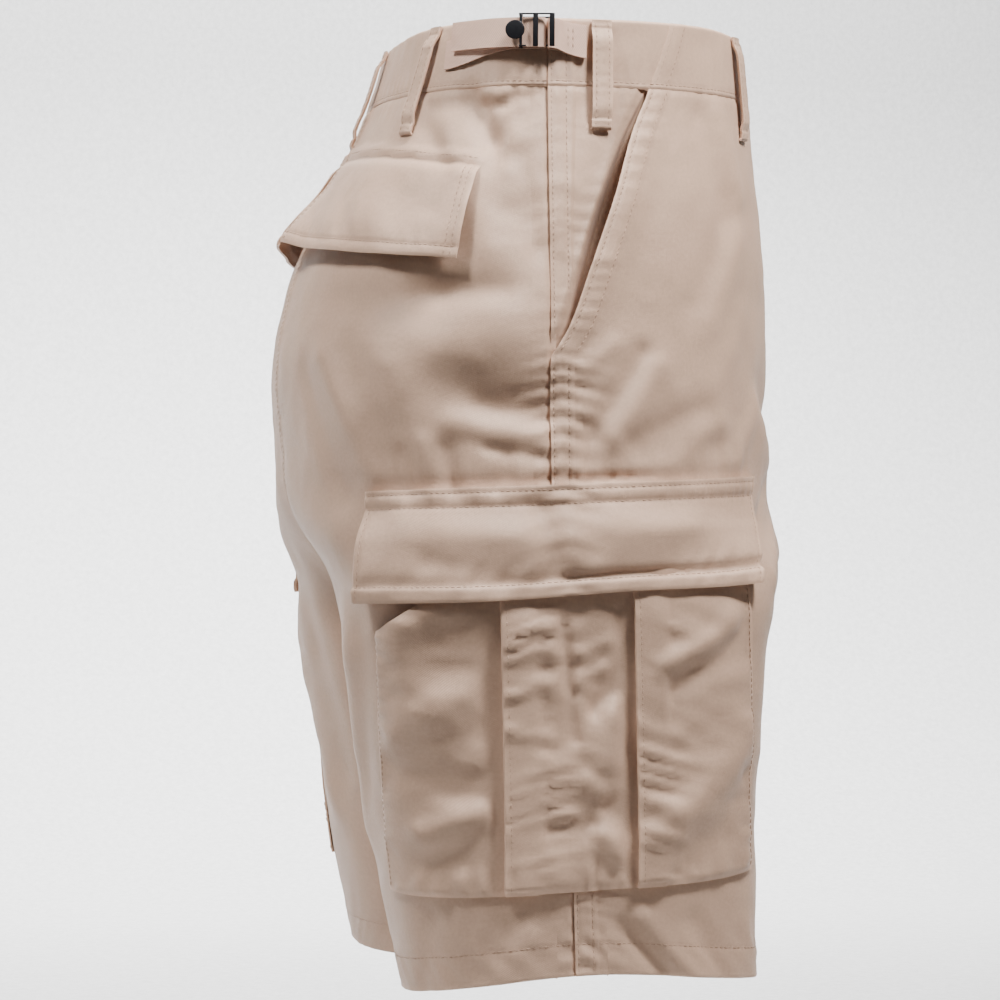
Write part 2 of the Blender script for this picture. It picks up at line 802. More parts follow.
@dataclass(frozen=True)
class Cloth:
    """A woven finish."""

    name: str
    base: Colour
    pitch: float = 0.62
    slub: float = 0.3
    contrast: float = 0.32
    roughness: float = 0.5
    sheen: float = 0.05
    bump: float = 0.36

    def material(self) -> bpy.types.Material:
        """Return the finish's material, made once."""
        if self.name in bpy.data.materials:
            return bpy.data.materials[self.name]
        material, w, shader = new_material(self.name)
        place = w.add("UVMap", {"uv_map": "cloth"})
        rub = w.add("Attribute", {"attribute_name": "rub"})
        weave = w.add("Group", {"node_tree": node_group("twill_weave", twill_group)}, Vector=place,
                      Pitch=self.pitch, Slub=self.slub)
        wear = w.add("Group", {"node_tree": node_group("cloth_wear", wear_group)}, Vector=place,
                     Base=self.base, Tone=weave.outputs["Tone"], Rub=rub.outputs["Fac"],
                     Contrast=self.contrast)
        w.link(wear.outputs["Color"], shader.inputs["Base Color"])
        height = w.math("ADD", weave.outputs["Height"], w.math("MULTIPLY", wear.outputs["Fine"], 1.4))
        bump = w.add("Bump", Strength=self.bump, Distance=0.0003, Height=height)
        w.link(bump, shader.inputs["Normal"])
        shader.inputs["Roughness"].default_value = self.roughness
        shader.inputs["Sheen Weight"].default_value = self.sheen
        shader.inputs["Sheen Roughness"].default_value = 0.45
        shader.inputs["Specular IOR Level"].default_value = 0.34
        return material


@dataclass(frozen=True)
class Hard:
    """A moulded or painted finish with a fine grain."""

    name: str
    base: Colour
    roughness: float = 0.4
    metallic: float = 0.0
    grain: float = 0.2

    def material(self) -> bpy.types.Material:
        """Return the finish's material, made once."""
        if self.name in bpy.data.materials:
            return bpy.data.materials[self.name]
        material, w, shader = new_material(self.name)
        place = w.add("TexCoord").outputs["Object"]
        grain = w.add("TexNoise", Vector=place, Scale=900.0, Detail=3.0, Roughness=0.6)
        scuff = w.add("TexNoise", Vector=place, Scale=160.0, Detail=4.0, Roughness=0.7)
        shade = w.math("MULTIPLY_ADD", w.math("SUBTRACT", scuff.outputs["Fac"], 0.5), 0.5, 1.0)
        tinted = w.add("VectorMath", {"operation": "SCALE"}, i0=self.base[:3], Scale=shade)
        w.link(tinted.outputs[0], shader.inputs["Base Color"])
        w.link(w.math("MULTIPLY_ADD", w.math("SUBTRACT", grain.outputs["Fac"], 0.5), 0.3, self.roughness),
               shader.inputs["Roughness"])
        bump = w.add("Bump", Strength=self.grain, Distance=0.0001, Height=grain.outputs["Fac"])
        w.link(bump, shader.inputs["Normal"])
        shader.inputs["Metallic"].default_value = self.metallic
        return material


def node_group(name: str, build: Callable[[], bpy.types.NodeTree]) -> bpy.types.NodeTree:
    """Return a node group, built the first time it is asked for."""
    return bpy.data.node_groups.get(name) or build()


TWILL = Cloth("khaki_twill", colour(190, 157, 134))
TAPE = Cloth("khaki_tape", colour(202, 166, 146), pitch=1.0, slub=0.2, contrast=0.2, bump=0.35)
THREAD = Cloth("khaki_thread", colour(172, 141, 120), pitch=0.4, contrast=0.12, roughness=0.6)
BLACK = Hard("black_buckle", colour(22, 22, 26), 0.34, 0.35)
HORN = Hard("khaki_button", colour(150, 128, 108), 0.38)


# Meshes


def finished(obj: Object, nodes: Sequence[str], finish: Cloth | Hard) -> Object:
    """Give a piece its finish and its place in the frame, and report it.

    Args:
        obj: the piece.
        nodes: the CAD nodes that it stands for, or none.
        finish: its finish.

    Returns:
        The piece.
    """
    obj.data.materials.clear()
    obj.data.materials.append(finish.material())
    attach(obj, BODY)
    if nodes:
        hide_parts(*nodes)
    log.info("%s: %d faces", obj.name, len(obj.data.polygons))
    return obj


def mesh_object(name: str, points: Array, faces: Array) -> Object:
    """Make an object of a mesh.

    Args:
        name: its name.
        points: the mesh's points, in metres.
        faces: the numbers of each face's points.

    Returns:
        The object, linked to the scene.
    """
    mesh = bpy.data.meshes.new(name)
    mesh.from_pydata(points.reshape(-1, 3).tolist(), [], faces.tolist())
    mesh.update()
    obj = bpy.data.objects.new(name, mesh)
    bpy.context.scene.collection.objects.link(obj)
    return obj


def only(obj: Object) -> None:
    """Select one object alone and make it active."""
    bpy.ops.object.select_all(action="DESELECT")
    obj.select_set(True)
    bpy.context.view_layer.objects.active = obj


@dataclass
class Patch:
    """A grid of cloth, with rows going down and columns to the front."""

    d: Array
    z: Array
    lift: Array
    rub: Array | float = 0.0

    def build(self, name: str, side: Side, wall: float, angle: float = 50.0, offset: float = -1.0,
              form: Form | CentreBack | None = None) -> Object:
        """Make a shell of the patch.

        Args:
            name: the object's name.
            side: which side of the shorts it is on.
            wall: its thickness.
            angle: creases sharper than this many degrees stay sharp.
            offset: -1 lays the thickness inwards and 0 lays it to both sides.
            form: what it lies on, if not its side's form.

        Returns:
            The object.
        """
        d, z, lift = np.broadcast_arrays(self.d, self.z, self.lift)
        points, _ = (form or FORMS[side]).cloth(d, z, lift)
        rows, columns = d.shape
        at = np.arange(rows * columns).reshape(rows, columns)
        faces = np.stack([at[:-1, :-1], at[1:, :-1], at[1:, 1:], at[:-1, 1:]], -1).reshape(-1, 4)
        if side is Side.LEFT:
            faces = faces[:, ::-1]
        obj = mesh_object(name, points, faces)
        layer = obj.data.uv_layers.new(name="cloth")
        place = np.stack([d * side.sign, z + 0.37 * lift], -1).reshape(-1, 2) * MM
        layer.data.foreach_set("uv", place[faces.reshape(-1)].reshape(-1))
        rub = obj.data.attributes.new("rub", "FLOAT", "POINT")
        rub.data.foreach_set("value", np.broadcast_to(self.rub, d.shape).reshape(-1).astype(np.float32))
        modifier = obj.modifiers.new("wall", "SOLIDIFY")
        modifier.thickness = wall * MM
        modifier.offset = offset
        only(obj)
        bpy.ops.object.modifier_apply(modifier="wall")
        bpy.ops.object.shade_smooth_by_angle(angle=math.radians(angle))
        return obj


def shade_smooth(obj: Object) -> None:
    """Shade all of an object smooth."""
    for polygon in obj.data.polygons:
        polygon.use_smooth = True


def read_line(values: Array, along: Array, where: Array) -> Array:
    """Read points or directions at distances along a line."""
    return np.stack([np.interp(where, along, values[:, k]) for k in range(3)], -1)


@dataclass
class Seam:
    """A row of stitches along a line on the cloth."""

    d: Array
    z: Array
    lift: Array | float

    PITCH = 3.3
    LENGTH = 2.7
    WIDTH = 0.55
    HEIGHT = 0.34

    def stitches(self, form: Form | CentreBack, shape: Array) -> tuple[Array, Array]:
        """Lay the row's stitches on the cloth.

        Args:
            form: what they are sewn to.
            shape: the corners of one stitch, in metres.

        Returns:
            The corners of every stitch, and those corners' places on the cloth, in metres.
        """
        d, z, lift = np.broadcast_arrays(self.d, self.z, self.lift)
        points, out = form.cloth(d, z, lift)
        along = np.concatenate([[0.0], np.cumsum(np.linalg.norm(np.diff(points, axis=0), axis=1))]) / MM
        count = int((along[-1] - 1.0) // self.PITCH)
        middles = (np.arange(count) + 0.5) * along[-1] / count
        forward = unit(read_line(points, along, middles + 1.0) - read_line(points, along, middles - 1.0))
        normal = read_line(out, along, middles)
        sideways = unit(np.cross(normal, forward))
        made = (read_line(points, along, middles)[:, None] + shape[None, :, 0:1] * forward[:, None]
                + shape[None, :, 1:2] * sideways[:, None] + shape[None, :, 2:3] * normal[:, None])
        place = np.stack([np.interp(middles, along, d), np.interp(middles, along, z)], -1) * MM
        places = np.repeat(place, len(shape), axis=0) + np.tile(shape[:, :2], (count, 1))
        return made.reshape(-1, 3), places


def sewn(d: Array | float, z: Array | float, lift: Lift) -> Seam:
    """Return a row of stitches through these places, on the cloth's face."""
    d, z = grids(d, z)
    return Seam(d, z, lift(d, z))


def sewn_on(piece: CargoFlap | BackPocket | BeltLoop, across: Array | float, down: Array | float) -> Seam:
    """Return a row of stitches on a flap or a loop, by that piece's own two measures."""
    across, down = grids(across, down)
    return Seam(*piece.place(across, down), piece.lift(across, down))


def stitch_shape() -> tuple[Array, Array]:
    """Return the corners of a small pointed length of thread, 1 long, and its faces."""
    girth = ((0.5, 0.0), (0.0, 1.0), (-0.5, 0.0), (0.0, -0.6))
    rings = ((end, *place) for end in (-0.3, 0.3) for place in girth)
    points = [(-0.5, 0.0, -0.25), *rings, (0.5, 0.0, -0.25)]
    ring = [(0, 1), (1, 2), (2, 3), (3, 0)]
    faces = ([[0, 1 + b, 1 + a] for a, b in ring] + [[9, 5 + a, 5 + b] for a, b in ring]
             + [[1 + a, 1 + b, 5 + b] for a, b in ring] + [[1 + a, 5 + b, 5 + a] for a, b in ring])
    return np.array(points), np.array(faces)


def stitch_rows(name: str, side: Side, seams: Sequence[Seam],
                form: Form | CentreBack | None = None) -> Object:
    """Sew rows of stitches.

    Args:
        name: the object's name.
        side: which side of the shorts they are on.
        seams: the rows.
        form: what they are sewn to, if not their side's form.

    Returns:
        The joined stitches.
    """
    shape, faces = stitch_shape()
    shape = shape * np.array([Seam.LENGTH, Seam.WIDTH, Seam.HEIGHT]) * MM
    laid = [seam.stitches(form or FORMS[side], shape) for seam in seams]
    points = np.concatenate([made for made, _ in laid])
    places = np.concatenate([place for _, place in laid])
    count = len(points) // len(shape)
    many = (faces[None] + (np.arange(count) * len(shape))[:, None, None]).reshape(-1, 3)
    obj = mesh_object(name, points, many)
    layer = obj.data.uv_layers.new(name="cloth")
    layer.data.foreach_set("uv", places[many.reshape(-1)].reshape(-1))
    shade_smooth(obj)
    work = bmesh.new()
    work.from_mesh(obj.data)
    bmesh.ops.recalc_face_normals(work, faces=work.faces)
    work.to_mesh(obj.data)
    work.free()
    return finished(obj, (), THREAD)


# Cloth pieces


@dataclass
class SidePiece:
    """A piece of the shorts that each side has."""

    side: Side

    @property
    def form(self) -> Form | CentreBack:
        """Return what the piece lies on."""
        return FORMS[self.side]

    def named(self, name: str) -> str:
        """Return a name with the side's own after it."""
        return f"{name}_{self.side.value}"


@dataclass(frozen=True)
class Pucker:
    """Ripples of cloth drawn up beside a seam: their distance from it, their reach and their size."""

    middle: float
    reach: float
    height: float
    spacing: float
    row: float

    def relief(self, away: Array, along: Array, side: Side) -> Array:
        """Return the ripples' relief at distances from the seam and along it."""
        lines = ripple(along, self.spacing, FORMS[side].noise, self.row) - 0.3
        return self.height * bell(away - self.middle, self.reach) * lines


def dents(away: Array, rows: Sequence[float], depth: float = 0.3) -> Array:
    """Return the relief of rows of stitches at given distances."""
    return -depth * sum(bell(away - row, 1.1) for row in rows)


def strip(d: Array, z: Array) -> Array:
    """Return the raised, puckered strip of the felled side seam, which is wider near the waist."""
    half = CUT.fell_half + 2.2 * smooth(z, -130, -45)
    raised = 0.85 * (1 - smooth(np.abs(d), half - 0.6, half + 1.6))
    ladder = 0.42 * bell(d, 4.0) * (ripple(z, 7.4, FORMS[Side.RIGHT].noise, 40.0) - 0.5)
    return raised + ladder + dents(d, CUT.fell_rows, 0.35)


@dataclass
class Panel(SidePiece):
    """What the front and back panels share: rows, hem, waist seam and inner seams."""

    turn_heights: tuple[float, ...] = (-0.7, -0.9, -0.7, 0.0, 3.0, 8.0, 13.0, 18.0)
    turn_lifts: tuple[float, ...] = (-0.5, -1.35, -2.2, -2.7, -2.7, -2.7, -2.7, -2.7)
    hem_twist: Pucker = Pucker(middle=11, reach=13, height=1.5, spacing=17, row=2)
    hem_puckers: Pucker = Pucker(middle=17, reach=5, height=0.7, spacing=8, row=3)
    waist_puckers: Pucker = Pucker(middle=-6, reach=7, height=0.8, spacing=8.5, row=4)
    inner_puckers: Pucker = Pucker(middle=5, reach=9, height=0.9, spacing=10, row=5)
    flap_gathers: Pucker = Pucker(middle=8, reach=13, height=2.0, spacing=12, row=16)

    def rows(self) -> tuple[Array, Array]:
        """Return the rows' heights, and the lift that turns the hem in and up."""
        down = stops(-CUT.band_height - 0.2, CUT.hem_z, 2.3, 6.0, 20.0, 1.4)
        turn = CUT.hem_z + np.array(self.turn_heights)
        return np.concatenate([down, turn]), np.concatenate([np.zeros_like(down), self.turn_lifts])

    def shared_relief(self, d: Array, z: Array, inner: Array) -> Array:
        """Return the relief that both panels have.

        Args:
            d, z: places on the cloth.
            inner: distances from the middle or the inseam.

        Returns:
            The relief.
        """
        hem = z - CUT.hem_z
        height = dents(hem, (CUT.hem_row,))
        height += (self.hem_twist.relief(hem, d + 0.9 * z, self.side)
                           + self.hem_puckers.relief(hem, d, self.side))
        waist = z + CUT.band_height
        height = height - 0.7 * bell(waist, 2.2) + self.waist_puckers.relief(waist, d, self.side)
        seam = -0.7 * bell(inner, 1.6) + self.inner_puckers.relief(inner, z, self.side)
        over = z - CUT.flap_top - CUT.flap_slant * d
        beside = smooth(d, -122, -105) * (1 - smooth(d, 125, 145))
        gathers = (self.flap_gathers.relief(over, d, self.side) - 0.9 * bell(over - 3, 4)
                   - 2.0 * bell(over - 2.5, 3) * bell(d - 30, 20))
        return height + seam + gathers * beside

    def run(self, z: Array, lift: Array) -> Array:
        """Return how far along the cloth each row lies from the first, its turned hem included."""
        return np.cumsum(np.hypot(np.diff(z, prepend=z[0]), np.diff(lift, prepend=lift[0])))

    def hem_seam(self, start: float, end: float, lift: Lift) -> Seam:
        """Return the hem's row of stitches between two distances."""
        return sewn(np.linspace(start, end, 160), CUT.hem_z + CUT.hem_row, lift)


@dataclass
class FrontPanel(Panel):
    """A front: from the slash pocket and the felled side seam to the fly and the inseam."""

    slash_rows: tuple[float, float] = (3.0, 12.5)
    slash_puckers: Pucker = Pucker(middle=7, reach=8, height=0.9, spacing=9, row=6)
    gape: float = 4.6
    near: float = 18.0
    far: float = 40.0
    fly_stitch: float = 36.0
    fly_bend_above: float = 30.0
    fly_bend_drop: float = 38.0

    @property
    def reach(self) -> float:
        """Return how far this front runs past the middle at the fly."""
        return CUT.fly_underlap if self.side is Side.RIGHT else CUT.fly_lap

    def inner_edge(self, z: Array) -> Array:
        """Return how far past the middle the cloth runs at each height."""
        return mix(0.0, self.reach, smooth(z, CUT.fly_end_z, CUT.fly_end_z + CUT.fly_narrow))

    def lap(self, d: Array, z: Array, wall: float) -> Array:
        """Lift the left front where it lies on the right one.

        Args:
            d, z: places on the cloth.
            wall: thickness of the cloth under it.

        Returns:
            The lift, none on the right front.
        """
        if self.side is Side.RIGHT:
            return np.zeros_like(z)
        middle = self.form.length(z, True)
        rise = smooth(d, middle - CUT.fly_underlap - CUT.fly_ramp - 2, middle - CUT.fly_underlap - 2)
        return (wall + 0.5) * rise * smooth(z, CUT.fly_end_z - CUT.fly_narrow, CUT.fly_end_z - 4)

    def fly_line(self) -> tuple[Array, Array]:
        """Return the J-shaped row of stitches beside the fly, as distances from the middle and heights."""
        bend = np.linspace(0.0, math.pi / 2, 14)
        start = CUT.fly_end_z + self.fly_bend_above
        down = np.linspace(-CUT.band_height - 1, start, 40)
        away = np.concatenate([np.full_like(down, self.fly_stitch), self.fly_stitch * np.cos(bend[1:])])
        return away, np.concatenate([down, start - self.fly_bend_drop * np.sin(bend[1:])])

    def lift(self, d: Array, z: Array) -> Array:
        """Lift the outer face.

        Args:
            d, z: places on the cloth.

        Returns:
            The lift.
        """
        d, z = grids(d, z)
        edge = d - slash_edge(z)
        above = smooth(z, CUT.slash_foot_z - 4, CUT.slash_foot_z + 14)
        run = np.clip((z - CUT.slash_foot_z) / (-CUT.band_height - CUT.slash_foot_z), 0, 1)
        opened = self.gape * np.sin(math.pi * run) ** 1.2 * (1 - smooth(edge, 4, 30))
        layer = 0.7 * (1 - smooth(edge, 12.8, 15)) + dents(edge, self.slash_rows) - 0.5 * bell(edge, 0.7)
        layer += self.slash_puckers.relief(edge, z, self.side)
        middle = self.form.length(z, True)
        height = opened + layer * above + strip(d, z) * (1 - above) + self.lap(d, z, CUT.cloth)
        height += self.shared_relief(d, z, middle - d)
        if self.side is Side.LEFT:
            away, level = self.fly_line()
            line = np.interp(-z, -level, away, right=-99.0)
            height = height - 0.3 * bell(middle - d - line, 1.2)
        return height

    def seams(self) -> list[Seam]:
        """Return this front's rows of stitches."""
        form = self.form
        beside = np.linspace(-CUT.band_height - 1, CUT.slash_foot_z + 4, 90)
        below = np.linspace(CUT.slash_foot_z - 4, CUT.hem_z + 1, 200)
        rows = [sewn(slash_edge(beside) + row, beside, self.lift) for row in self.slash_rows]
        rows += [sewn(row, below, self.lift) for row in CUT.fell_rows]
        inseam = float(form.length(CUT.hem_z + CUT.hem_row, True))
        rows.append(self.hem_seam(-CUT.fell_half, inseam, self.lift))
        if self.side is Side.LEFT:
            away, z = self.fly_line()
            rows.append(sewn(form.length(z, True) - away, z, self.lift))
            z = np.linspace(CUT.fly_end_z - 12, CUT.crotch_z + 6, 60)
            rows += [sewn(form.length(z, True) - row, z, self.lift) for row in CUT.centre_rows]
        return rows

    def build(self) -> Object:
        """Make the panel and its stitches, and return the panel."""
        form = self.form
        z, turned = self.rows()
        edge, middle = slash_edge(z), form.length(z, True)
        end = middle + np.where(z > CUT.crotch_z, self.inner_edge(z), 0.0)
        near = stops(0, self.near, 1.0, self.near, 0, 1.0)
        shares, far = np.linspace(0, 1, 66)[1:], np.linspace(0, 1, 22)[1:]
        d = np.concatenate([
            edge[:, None] + near[None],
            mix((edge + self.near)[:, None], (middle - self.far)[:, None], shares[None]),
            mix((middle - self.far)[:, None], end[:, None], far[None])], axis=1)
        z2 = np.repeat(z[:, None], d.shape[1], axis=1)
        lift = self.lift(d, np.maximum(z2, CUT.hem_z)) + turned[:, None]
        rub = bell(d - edge[:, None], 1.6) + 0.8 * bell(z2 - CUT.hem_z, 1.5)
        obj = Patch(d, z2, lift, rub).build(self.named("front"), self.side, CUT.cloth)
        finished(obj, (self.named("front_panel"),), TWILL)
        self.run(z, turned)
        stitch_rows(f"front_{self.side.value}_stitches", self.side, self.seams())
        return obj


@dataclass
class BackPanel(Panel):
    """A back: from under the felled side seam to the seat seam and the inseam."""

    tuck: float = 3.0
    edge: float = 16.0

    def lift(self, d: Array, z: Array) -> Array:
        """Lift the outer face.

        Args:
            d, z: places on the cloth.

        Returns:
            The lift.
        """
        d, z = grids(d, z)
        inner = self.form.length(z, False) + d
        under = smooth(d, -CUT.fell_half - 3.0, -CUT.fell_half + 0.4)
        height = self.shared_relief(d, z, inner) - 1.2 * under
        if self.side is Side.RIGHT:
            height += 0.6 * (1 - smooth(inner, 9, 11)) + dents(inner, CUT.centre_rows)
        return height + BackPocket(self.side).band(d, z)

    def seams(self) -> list[Seam]:
        """Return this back's rows of stitches."""
        form = self.form
        inseam = -float(form.length(CUT.hem_z + CUT.hem_row, False))
        rows = [self.hem_seam(inseam, -CUT.fell_half - 1, self.lift)]
        if self.side is Side.RIGHT:
            z = np.linspace(-CUT.band_height - 1, CUT.crotch_z + 4, 120)
            rows += [sewn(row - form.length(z, False), z, self.lift) for row in CUT.centre_rows]
        return rows

    def build(self) -> Object:
        """Make the panel and its stitches, and return the panel."""
        form = self.form
        z, turned = self.rows()
        length = form.length(z, False)
        near = stops(self.tuck, self.edge, 1.2, self.edge - self.tuck, 0, 1.2)
        shares, far = np.linspace(0, 1, 68)[1:], np.linspace(0, 1, 12)[1:]
        out = np.concatenate([
            np.repeat(near[None], len(z), axis=0),
            mix(self.edge, (length - self.edge)[:, None], shares[None]),
            mix((length - self.edge)[:, None], length[:, None], far[None])], axis=1)
        d = -out[:, ::-1]
        z2 = np.repeat(z[:, None], d.shape[1], axis=1)
        lift = self.lift(d, np.maximum(z2, CUT.hem_z)) + turned[:, None]
        rub = 0.8 * bell(z2 - CUT.hem_z, 1.5) + 0.4 * bell(length[:, None] + d - 5, 5)
        obj = Patch(d, z2, lift, rub).build(self.named("back"), self.side, CUT.cloth)
        finished(obj, (self.named("back_panel"),), TWILL)
        self.run(z, turned)
        stitch_rows(f"back_{self.side.value}_stitches", self.side, self.seams())
        return obj


@dataclass
class PocketFacing(SidePiece):
    """The cloth inside the slash pocket, with the side seam's strip on it."""

    wall: float = 1.0
    lap: float = 14.0
    mouth_z: float = -112.0
    mouth_half: float = 52.0
    mouth_width: float = 8.0
    mouth_depth: float = 14.0
    shade_z: float = -108.0
    shade_half: float = 56.0
    waist_puckers: Pucker = Pucker(middle=-6, reach=7, height=0.7, spacing=8, row=7)
    edge_puckers: Pucker = Pucker(middle=-10, reach=8, height=0.6, spacing=10, row=8)

    def lift(self, d: Array, z: Array) -> Array:
        """Lift the outer face.

        Args:
            d, z: places on the cloth.

        Returns:
            The lift.
        """
        edge = slash_edge(z)
        under = smooth(d, edge - 9, edge - 2)
        down = z + CUT.band_height
        waist = -0.7 * bell(down, 2.2) + self.waist_puckers.relief(down, d, self.side)
        inward = d - edge
        open_here = bell(z - self.mouth_z, self.mouth_half)
        mouth = 2.2 * bell(inward + 12, 11) * open_here
        fall = smooth(inward, -0.5 - self.mouth_width * open_here, 1.0) * (1 - smooth(inward, 3.5, 12.5))
        mouth += self.mouth_depth * fall * open_here
        beside = self.edge_puckers.relief(inward, z, self.side)
        return strip(d, z) * (1 - under) + waist - mouth - 2.0 * under + beside

    def build(self) -> Object:
        """Make the facing and its stitches, and return the facing."""
        z = stops(-CUT.band_height - 0.2, CUT.slash_foot_z - 2, 2.2, 6, 0, 1.3)
        edge = slash_edge(z)
        shares = np.linspace(0, 1, 80)
        d = mix(-CUT.fell_half, (edge + self.lap)[:, None], shares[None])
        z2 = np.repeat(z[:, None], d.shape[1], axis=1)
        inward = d - edge[:, None]
        shielded = bell(z2 - self.shade_z, self.shade_half)
        unfaded = (2.2 * bell(inward + 1, 6) + 0.7 * bell(inward + 10, 9)) * shielded
        obj = Patch(d, z2, self.lift(d, z2), -unfaded).build(
            self.named("pocket_facing_cloth"), self.side, self.wall)
        finished(obj, (self.named("pocket_facing"),), TWILL)
        line = np.linspace(-CUT.band_height - 1, CUT.slash_foot_z + 18, 110)
        behind, ahead = CUT.fell_rows
        # The row nearer the front ends sooner, where the pocket's edge crosses it
        seams = [sewn(behind, line, self.lift), sewn(ahead, line[:-16], self.lift)]
        stitch_rows(f"pocket_facing_{self.side.value}_stitches", self.side, seams)
        return obj


# How far below its top edge each row of the waistband lies, closer at both edges
BAND_ROWS = np.array([0.0, 0.25, 0.8, 1.8, 3.2, 5, 7.5, 10, 13, 16, 19, 22, 25, 28, 30.5, 32.5, 34, 35.2,
                      36.4, 37.2, 37.8, 38.0])


@dataclass
class Waistband(SidePiece):
    """One half of the waistband: back, side and front pieces over a folded top edge."""

    wall: float = 2.0
    row: float = 2.6
    slash_rows: tuple[float, float] = (3.0, 11.0)
    foot_puckers: Pucker = Pucker(middle=5, reach=7, height=0.7, spacing=9, row=9)
    top_puckers: Pucker = Pucker(middle=-6, reach=9, height=0.5, spacing=15, row=10)

    def piece(self, name: str, start: Array, end: Array, steps: int, lift: Lift) -> Object:
        """Make one piece of the band.

        Args:
            name: the CAD node's name, without its side.
            start: where each row starts.
            end: where each row ends.
            steps: number of columns.
            lift: the lift at places.

        Returns:
            The piece.
        """
        roll = -0.9 * bell(BAND_ROWS, 0.55) - 0.5 * bell(BAND_ROWS - CUT.band_height, 0.5)
        ds = mix(start[:, None], end[:, None], np.linspace(0, 1, steps)[None])
        zs = mix(waist_top(ds), -CUT.band_height, (BAND_ROWS / CUT.band_height)[:, None])
        rub = bell(BAND_ROWS, 1.4)[:, None] * np.ones_like(ds)
        obj = Patch(ds, zs, lift(ds, zs) + roll[:, None], rub).build(
            self.named(f"{name}_cloth"), self.side, self.wall)
        finished(obj, (self.named(name),), TWILL)
        return obj

    def relief(self, d: Array, z: Array) -> Array:
        """Return the band's own unevenness."""
        foot = z + CUT.band_height
        return (dents(foot, (self.row,), 0.25) + self.foot_puckers.relief(foot, d, self.side)
                + self.top_puckers.relief(z - waist_top(d), d, self.side)
                + 0.45 * self.form.noise.at(d, z * 2.2, 24))

    def front_lift(self, d: Array, z: Array) -> Array:
        """Lift the front piece, with its turned edge over the slash pocket and the fly's lap.

        Args:
            d, z: places on the cloth.

        Returns:
            The lift.
        """
        edge = d - slash_edge(z)
        lap = FrontPanel(self.side).lap(d, z, self.wall)
        return (self.relief(d, z) + 0.8 * (1 - smooth(edge, 11, 13.5)) + dents(edge, self.slash_rows) + lap
                - 0.5 * bell(edge, 0.6))

    def side_lift(self, d: Array, z: Array) -> Array:
        """Return the side piece's lift, with the side seam's strip."""
        return self.relief(d, z) + strip(d, z)

    def back_lift(self, d: Array, z: Array) -> Array:
        """Return the back piece's lift, which sinks at the centre seam and beside the strip."""
        seam = 0.9 * bell(self.form.length(z, False) + d, 1.4)
        return self.relief(d, z) - seam - 0.5 * smooth(d, -CUT.fell_half - 1.4, -CUT.fell_half)

    def seams(self) -> list[Seam]:
        """Return the half's rows of stitches: along its foot, at the slash pocket and on the strip."""
        form, foot = self.form, -CUT.band_height + self.row
        middle = float(form.length(-36, True)) + FrontPanel(self.side).reach - 2
        spans = ((self.front_lift, 54.0, middle), (self.side_lift, -5.5, 52.0),
                 (self.back_lift, -float(form.length(-36, False)), -6.5))
        rows = [sewn(np.linspace(start, end, 120), foot, lift) for lift, start, end in spans]
        z = np.linspace(-1.5, -CUT.band_height + 1, 30)
        rows += [sewn(slash_edge(z) + row, z, self.front_lift) for row in self.slash_rows]
        rows += [sewn(row, z, self.side_lift) for row in CUT.fell_rows]
        return rows

    def build(self) -> list[Object]:
        """Make the half's three pieces and their stitches, and return the pieces."""
        form, z = self.form, -BAND_ROWS
        edge, split = slash_edge(z), np.full_like(z, -CUT.fell_half)
        middle = form.length(z, True) + FrontPanel(self.side).reach
        made = [self.piece("waistband_front", edge, middle, 96, self.front_lift),
                self.piece("waistband_side", split, edge + 1.0, 50, self.side_lift),
                self.piece("waistband_back", -form.length(z, False), split - 0.1, 96, self.back_lift)]
        stitch_rows(f"waistband_{self.side.value}_stitches", self.side, self.seams())
        return made


class Run(NamedTuple):
    """A run of the cargo pocket's section: distances, lifts, its section's number, and 1 where it shows."""

    d: Array
    lift: Array | float
    part: int
    shown: Array | float = 1.0


@dataclass(frozen=True)
class Pleat:
    """Where a pleat's fold is, and the spine, reach and slant of the crumple in front of it."""

    fold: float
    spine: float
    reach: float
    slant: float


